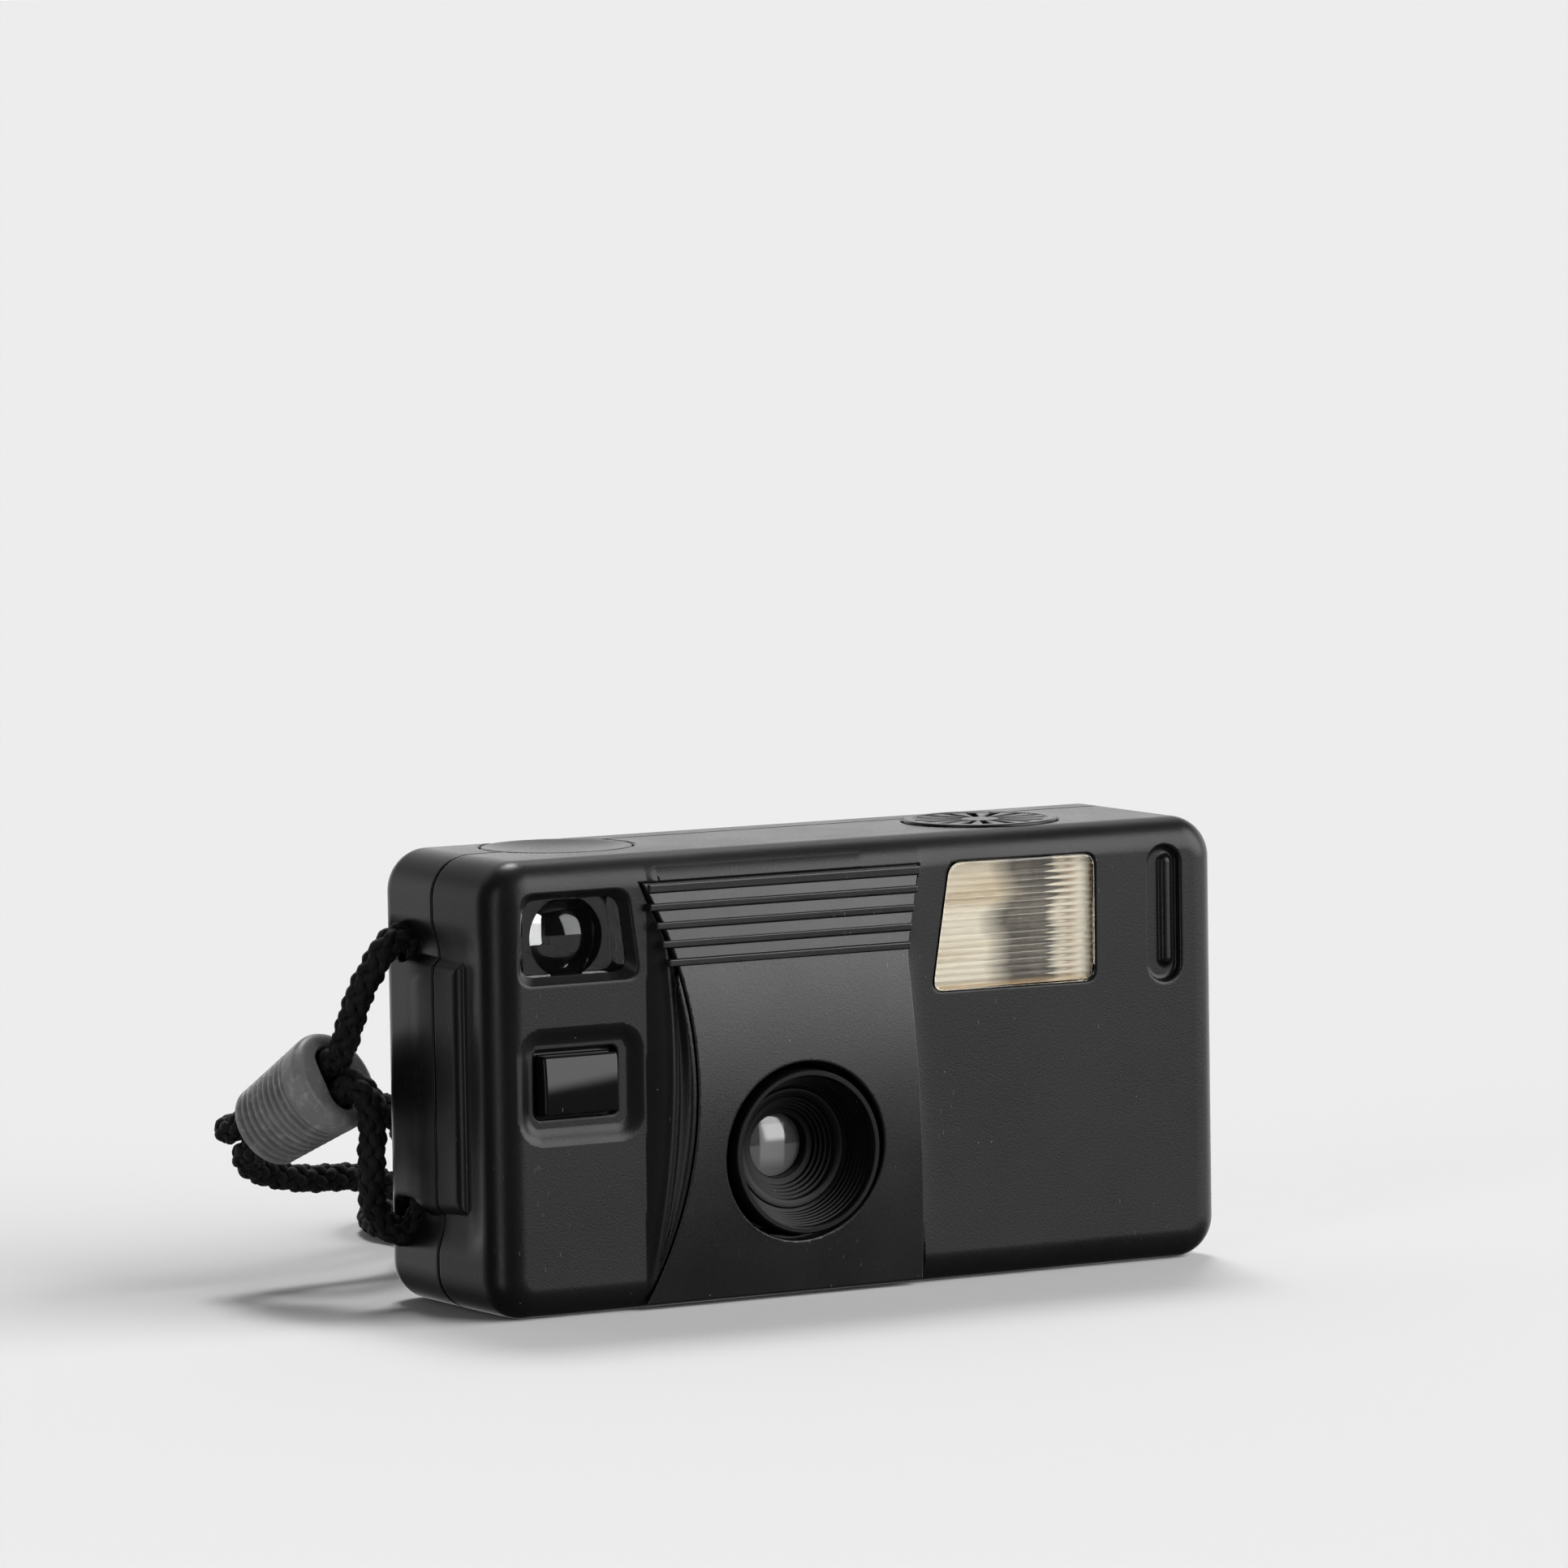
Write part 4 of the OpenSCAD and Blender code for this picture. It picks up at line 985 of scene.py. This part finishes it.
DARK_STEEL = metal("blade_steel", (0.12, 0.12, 0.125), 0.35)
BRASS = metal("brass", (0.72, 0.55, 0.26), 0.3)
CAN = plastic("can_sleeve", (0.02, 0.03, 0.08), 0.3, specular=0.5)
BOARD = plastic("board", (0.03, 0.12, 0.05), 0.35, specular=0.5)
COIL = plastic("coil", (0.35, 0.22, 0.04), 0.35, specular=0.5)
GEAR = plastic("gear_plastic", (0.55, 0.52, 0.42), 0.45, specular=0.5, scratched=0.1, dusty=0.2)
CELL = metal("cell", (0.42, 0.43, 0.47), 0.35)
LENS_COAT = lens_coat_material()

XS = steps((-55.6, 0.3), (-47.5, 0.45), (-37.5, 0.3), (-33.6, 0.2), (-25.5, 0.9), (4.6, 0.3), (11.2, 0.6),
           (33.5, 0.3), (36.5, 0.8), (43.2, 0.26), (49.4, 0.4), (52.5, 0.3), 55.6)
YS_FRONT = steps((-3.2, 0.25), (3, 0.45), (8, 0.3), (9.6, 0.55), (14.7, 0.12), (15.6, 0.6), (22.4, 0.12),
                 23.4)
YS_REAR = steps((14.6, 0.12), (15.6, 0.6), (22.4, 0.12), (23.5, 0.45), (27.9, 0.2), 30.6)
ZS = steps((-0.5, 0.35), (5.4, 0.55), (12.4, 0.3), (14, 0.6), (21.8, 0.3), (27, 0.5), (33.6, 0.3), (40, 0.4),
           (42.6, 0.25), (59.6, 0.25), 60.0)

carved("front_shell", front_cover_shape, XS, YS_FRONT, ZS, SHELL, "camera_body",
       ("front_cover",))
carved("rear_shell", rear_cover_shape, XS, YS_REAR, ZS, SHELL, "camera_body",
       ("rear_cover",))
carved("lens_front_panel", lens_panel_shape,
       steps((-33.2, 0.2), (-24.5, 0.5), (-22.5, 0.3), (2, 0.5), (4, 0.2), 9.4),
       steps((-3.9, 0.16), (0.3, 0.4), 1.4),
       steps((0.0, 0.3), (7, 0.3), (32, 0.6), (43.5, 0.11), 55.9),
       PANEL, "camera_body", ("lens_panel",))
carved("flash_key", key_shape, np.linspace(-49.4, -34.8, 74), steps((-1.4, 0.15), (1.8, 0.2), 3.4),
       np.linspace(24.6, 35.8, 58), GLOSS, "flash_button_body", ("flash_button",))
carved("advance_dial", dial_shape, np.linspace(DIAL_X - 10.6, DIAL_X + 10.6, 108),
       np.linspace(DIAL_Y - 10.6, DIAL_Y + 10.6, 108), steps((52.6, 0.5), (58.3, 0.15), 60.6),
       SHELL, "dial_body", ("top_dial",))
carved("film_back", plate_shape(FILM_LOW, FILM_HIGH, film_door_marks),
       steps((FILM_LOW[0] - 0.5, 0.25), (FILM_LOW[0] + 7.5, 0.5), (FILM_LOW[0] + 9, 0.25),
             (FILM_LOW[0] + 11, 0.8), (25, 0.25), (27, 0.5), (30, 0.2), FILM_HIGH[0] + 0.4),
       steps((27.6, 0.25), (29.0, 0.14), 30.4),
       steps((FILM_LOW[2] - 0.4, 0.2), (6.4, 0.5), (7.5, 0.25), (9.5, 0.6), (16, 0.25), (25, 0.6), (33, 0.25),
             (35, 0.5), (36.4, 0.2), 38.0),
       SHELL, "film_door_body", ("film_door",))
carved("battery_lid", plate_shape(CELL_LOW, CELL_HIGH, battery_door_marks),
       steps((CELL_LOW[0] - 0.4, 0.2), (44, 0.6), (50.8, 0.2), CELL_HIGH[0] + 0.4),
       steps((27.6, 0.25), (29.0, 0.14), 30.4),
       steps((3.2, 0.2), (5, 0.6), (25.5, 0.15), (33.4, 0.6), (54, 0.2), 55.9),
       SHELL, "battery_door_body", ("battery_door",))

# Shutter button: a shallow dish with a rounded rim, then its stem and the spring round it.
STEM_AT = (-31.0, 13.5, 0)
STEM_TOP = 57.4
SPRING_FOOT = 50.2
button_top = [(0, 58.2), (3, 58.26), (6, 58.46), (8.2, 58.78), (9.2, 58.98), (9.55, 59.02), (9.78, 58.94),
              (BUTTON_R, 58.7), (BUTTON_R, 55.6), (8.7, 55.6), (8.7, STEM_TOP), (0, STEM_TOP)]
turned("release_button", button_top, (BUTTON_X, BUTTON_Y, 0), (0, 0, 1), SHELL, "shutter_button_body",
       ("shutter_button",))
turned("release_stem", [(0, 40.1), (1.1, 40.1), (1.3, 40.4), (1.3, STEM_TOP), (0, STEM_TOP)], STEM_AT,
       (0, 0, 1), GEAR, "shutter_button_body", sides=32)


def coil_spring(name, centre, low, high, r, wire, turns, material):
    """A round wire wound between two heights, with capped ends."""
    count = turns * 28 + 1
    t = np.linspace(0, 1, count)
    turn = 2 * np.pi * turns * t
    rise = low + wire + (high - low - 2 * wire) * (0.9 * t + 0.1 * ease(t))
    out = np.stack([np.cos(turn), np.sin(turn), 0 * turn], 1)
    up = np.array([0, 0, 1])
    points = tube_rings(centre + out * r + np.outer(rise, up), out, up, wire, wire)
    first = np.array([(0, 7, 6, 5), (0, 5, 4, 3), (0, 3, 2, 1)])
    last = TUBE_SIDES * (count - 1) + (TUBE_SIDES - first) % TUBE_SIDES
    faces = np.concatenate([tube_faces(count, 0), first, last])
    return new_piece(name, points, faces, material, "camera_body", ("button_spring",))


spring = coil_spring("release_spring", STEM_AT, SPRING_FOOT, STEM_TOP, 1.9, 0.24, 6, STEEL)
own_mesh(spring)


def stepped(r0, y0, r1, y1, n):
    """Fine steps of a light baffle from one radius and depth to another."""
    out = []
    for k in range(n):
        a = k / n
        b = (k + 1) / n
        ra, rb = r0 + (r1 - r0) * a, r0 + (r1 - r0) * b
        ya, yb = y0 + (y1 - y0) * a, y0 + (y1 - y0) * b
        out += [(ra, ya), (ra - 0.04, ya + (yb - ya) * 0.9), (rb + 0.05, yb)]
    return out


LENS_AT = (LENS_X, 0, LENS_Z)
ring_profile = [(10.7, 3.0), (10.7, -2.7), (10.64, -2.88), (10.5, -3.0), (10.0, -3.0), (9.86, -2.9),
                *stepped(9.8, -2.55, 8.1, 1.6, 7), (7.92, 1.75), (7.92, 3.0)]
turned("lens_ring_turned", ring_profile, LENS_AT, (0, 1, 0), BARREL, "camera_body",
       ("lens_ring",), 128)
barrel_profile = [(7.84, 7.2), (7.84, 1.85), (7.74, 1.7), (6.95, 1.7), (6.8, 1.8),
                  *stepped(6.75, 2.0, 4.75, 5.0, 5), (4.3, 5.05), (4.2, 5.15), (4.2, 6.8), (5.3, 6.85),
                  (5.3, 7.2)]
turned("lens_barrel_turned", barrel_profile, LENS_AT, (0, 1, 0), BARREL, "camera_body",
       ("lens_barrel",), 128)
dome = [(r, 6.1 + r * r / 30) for r in np.linspace(0.4, 4.15, 14)]
lens_profile = [(0, 6.1), *dome, (4.15, 7.0), (0, 7.0)]
turned("front_element", lens_profile, LENS_AT, (0, 1, 0), LENS_COAT, "camera_body",
       ("front_lens",), 96)


def prism_window():
    """The flash window: a flat clear front and a finely ribbed sheet of small prisms behind it."""
    xs = steps((10.0, 0.25), (14, 0.7), (34.4, 0.2), 36.0)
    zs = steps((37.8, 0.25), (40.4, 0.7), (53.4, 0.2), 55.7)

    def slab(x, y, z):
        return np.maximum(round_and(outline(x, z, FLASH, 1.8), -0.1 - y, 0.15), y - 1.0)

    carved("flash_front", slab, xs, steps((-0.5, 0.15), (0.4, 0.3), 1.4), zs, FLASH_CLEAR, "camera_body",
           ("flash_window",))
    ribs_z = np.linspace(38.2, 55.3, 19 * 8)
    ribs_x = np.linspace(10.4, 35.6, 120)
    gx, gz = np.meshgrid(ribs_x, ribs_z, indexing="ij")
    depth = 1.35 + 0.4 * np.abs(np.mod((gz - 38.2) / 0.9, 1) - 0.5) * 2
    points = np.stack([gx, depth, gz], 2).reshape(-1, 3)
    nx, nz = gx.shape
    i, j = np.meshgrid(np.arange(nx - 1), np.arange(nz - 1), indexing="ij")
    a = (i * nz + j).ravel()
    quads = np.stack([a, a + nz, a + nz + 1, a + 1], 1)
    new_piece("flash_prisms", points, quads, FLASH_BACK, "camera_body", smooth=False)


prism_window()

# CAD nodes that stay get their own materials.
KEEP = {
    "rear_lens": CLEAR, "shutter_plate": INNER, "shutter_blade": DARK_STEEL, "blade_pin": STEEL,
    "release_lever": GEAR, "lever_pin": STEEL, "flash_contact": BRASS,
    "viewfinder_window": CLEAR, "viewfinder_tube": MATT, "viewfinder_eyepiece": CLEAR,
    "flash_reflector": MIRROR, "flash_tube": CLEAR, "flash_board": BOARD, "flash_capacitor": CAN,
    "trigger_coil": COIL, "dial_gear": GEAR, "drive_gear": GEAR, "ratchet_spring": STEEL,
    "chassis": INNER, "film_door_pin": STEEL, "door_latch": INNER, "film_spring": STEEL,
    "battery_door_pin": STEEL, "battery": CELL, "battery_contact_plus": BRASS,
    "battery_contact_minus": BRASS, "cover_screws": STEEL, "cord_crimp": STEEL,
}
for node, material in KEEP.items():
    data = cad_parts[node].data
    data.materials.clear()
    data.materials.append(material)


# --- Stage ---
def add_floor():
    mesh = bpy.data.meshes.new("floor")
    size = 120.0
    corners = [(-size, -size, 0), (size, -size, 0), (size, size, 0), (-size, size, 0)]
    mesh.from_pydata(corners, [], [(0, 1, 2, 3)])
    floor = bpy.data.objects.new("floor", mesh)
    bpy.context.scene.collection.objects.link(floor)
    mesh.materials.append(floor_material())
    floor.visible_glossy = False


def facing(azimuth, elevation):
    a = math.radians(azimuth)
    e = math.radians(elevation)
    return Vector((math.cos(a) * math.cos(e), math.sin(a) * math.cos(e), math.sin(e)))


def add_patch(tree, azimuth, elevation, half_wide, half_high, soft, strength):
    """A softbox at infinity: a rectangle of light in one direction, sizes in degrees."""
    ahead = facing(azimuth, elevation)
    side = Vector((0, 0, 1)).cross(ahead).normalized()
    up = ahead.cross(side)
    coords = tree.nodes.new("ShaderNodeTexCoord").outputs["Generated"]

    def along(vector):
        node = tree.nodes.new("ShaderNodeVectorMath")
        node.operation = "DOT_PRODUCT"
        node.inputs[1].default_value = vector
        tree.links.new(coords, node.inputs[0])
        return node.outputs["Value"]

    depth = along(ahead)
    mask = math_node(tree, "GREATER_THAN", depth, 0.0)
    for vector, half in ((side, half_wide), (up, half_high)):
        ratio = math_node(tree, "DIVIDE", math_node(tree, "ABSOLUTE", along(vector)), depth)
        away = math_node(tree, "ARCTANGENT", ratio)
        edge = tree.nodes.new("ShaderNodeMapRange")
        edge.interpolation_type = "SMOOTHSTEP"
        edge.inputs["From Min"].default_value = math.radians(half + soft)
        edge.inputs["From Max"].default_value = math.radians(half - soft)
        tree.links.new(away, edge.inputs["Value"])
        mask = math_node(tree, "MULTIPLY", mask, edge.outputs["Result"])
    return math_node(tree, "MULTIPLY", mask, strength)


LIGHTS = [
    # azimuth, elevation, half width, half height, soft edge, strength
    (-43, 23, 30, 26, 3, 5.8),
    (64, 60, 8, 8, 2, 24.0),
    (50, 2, 68, 24, 12, 1.4),
    (-152, 5, 5, 28, 3, 4.0),
    (128, -2, 12, 28, 12, 0.7),
    (85, 45, 40, 12, 10, 0.8),
]
ROOM_LIGHT = 0.04


def add_world():
    """Dark room with softboxes: a large one front right, a small one overhead, a pale wall behind."""
    world = bpy.data.worlds.new("studio")
    bpy.context.scene.world = world
    world.use_nodes = True
    tree = world.node_tree
    total = add_patch(tree, *LIGHTS[0])
    for light in LIGHTS[1:]:
        total = math_node(tree, "MAXIMUM", total, add_patch(tree, *light))
    room = math_node(tree, "MAXIMUM", total, ROOM_LIGHT)
    tree.links.new(room, tree.nodes["Background"].inputs["Strength"])
    tree.nodes["Background"].inputs["Color"].default_value = (1, 1, 1, 1)


add_floor()
add_world()
bpy.context.scene.view_settings.view_transform = "Standard"
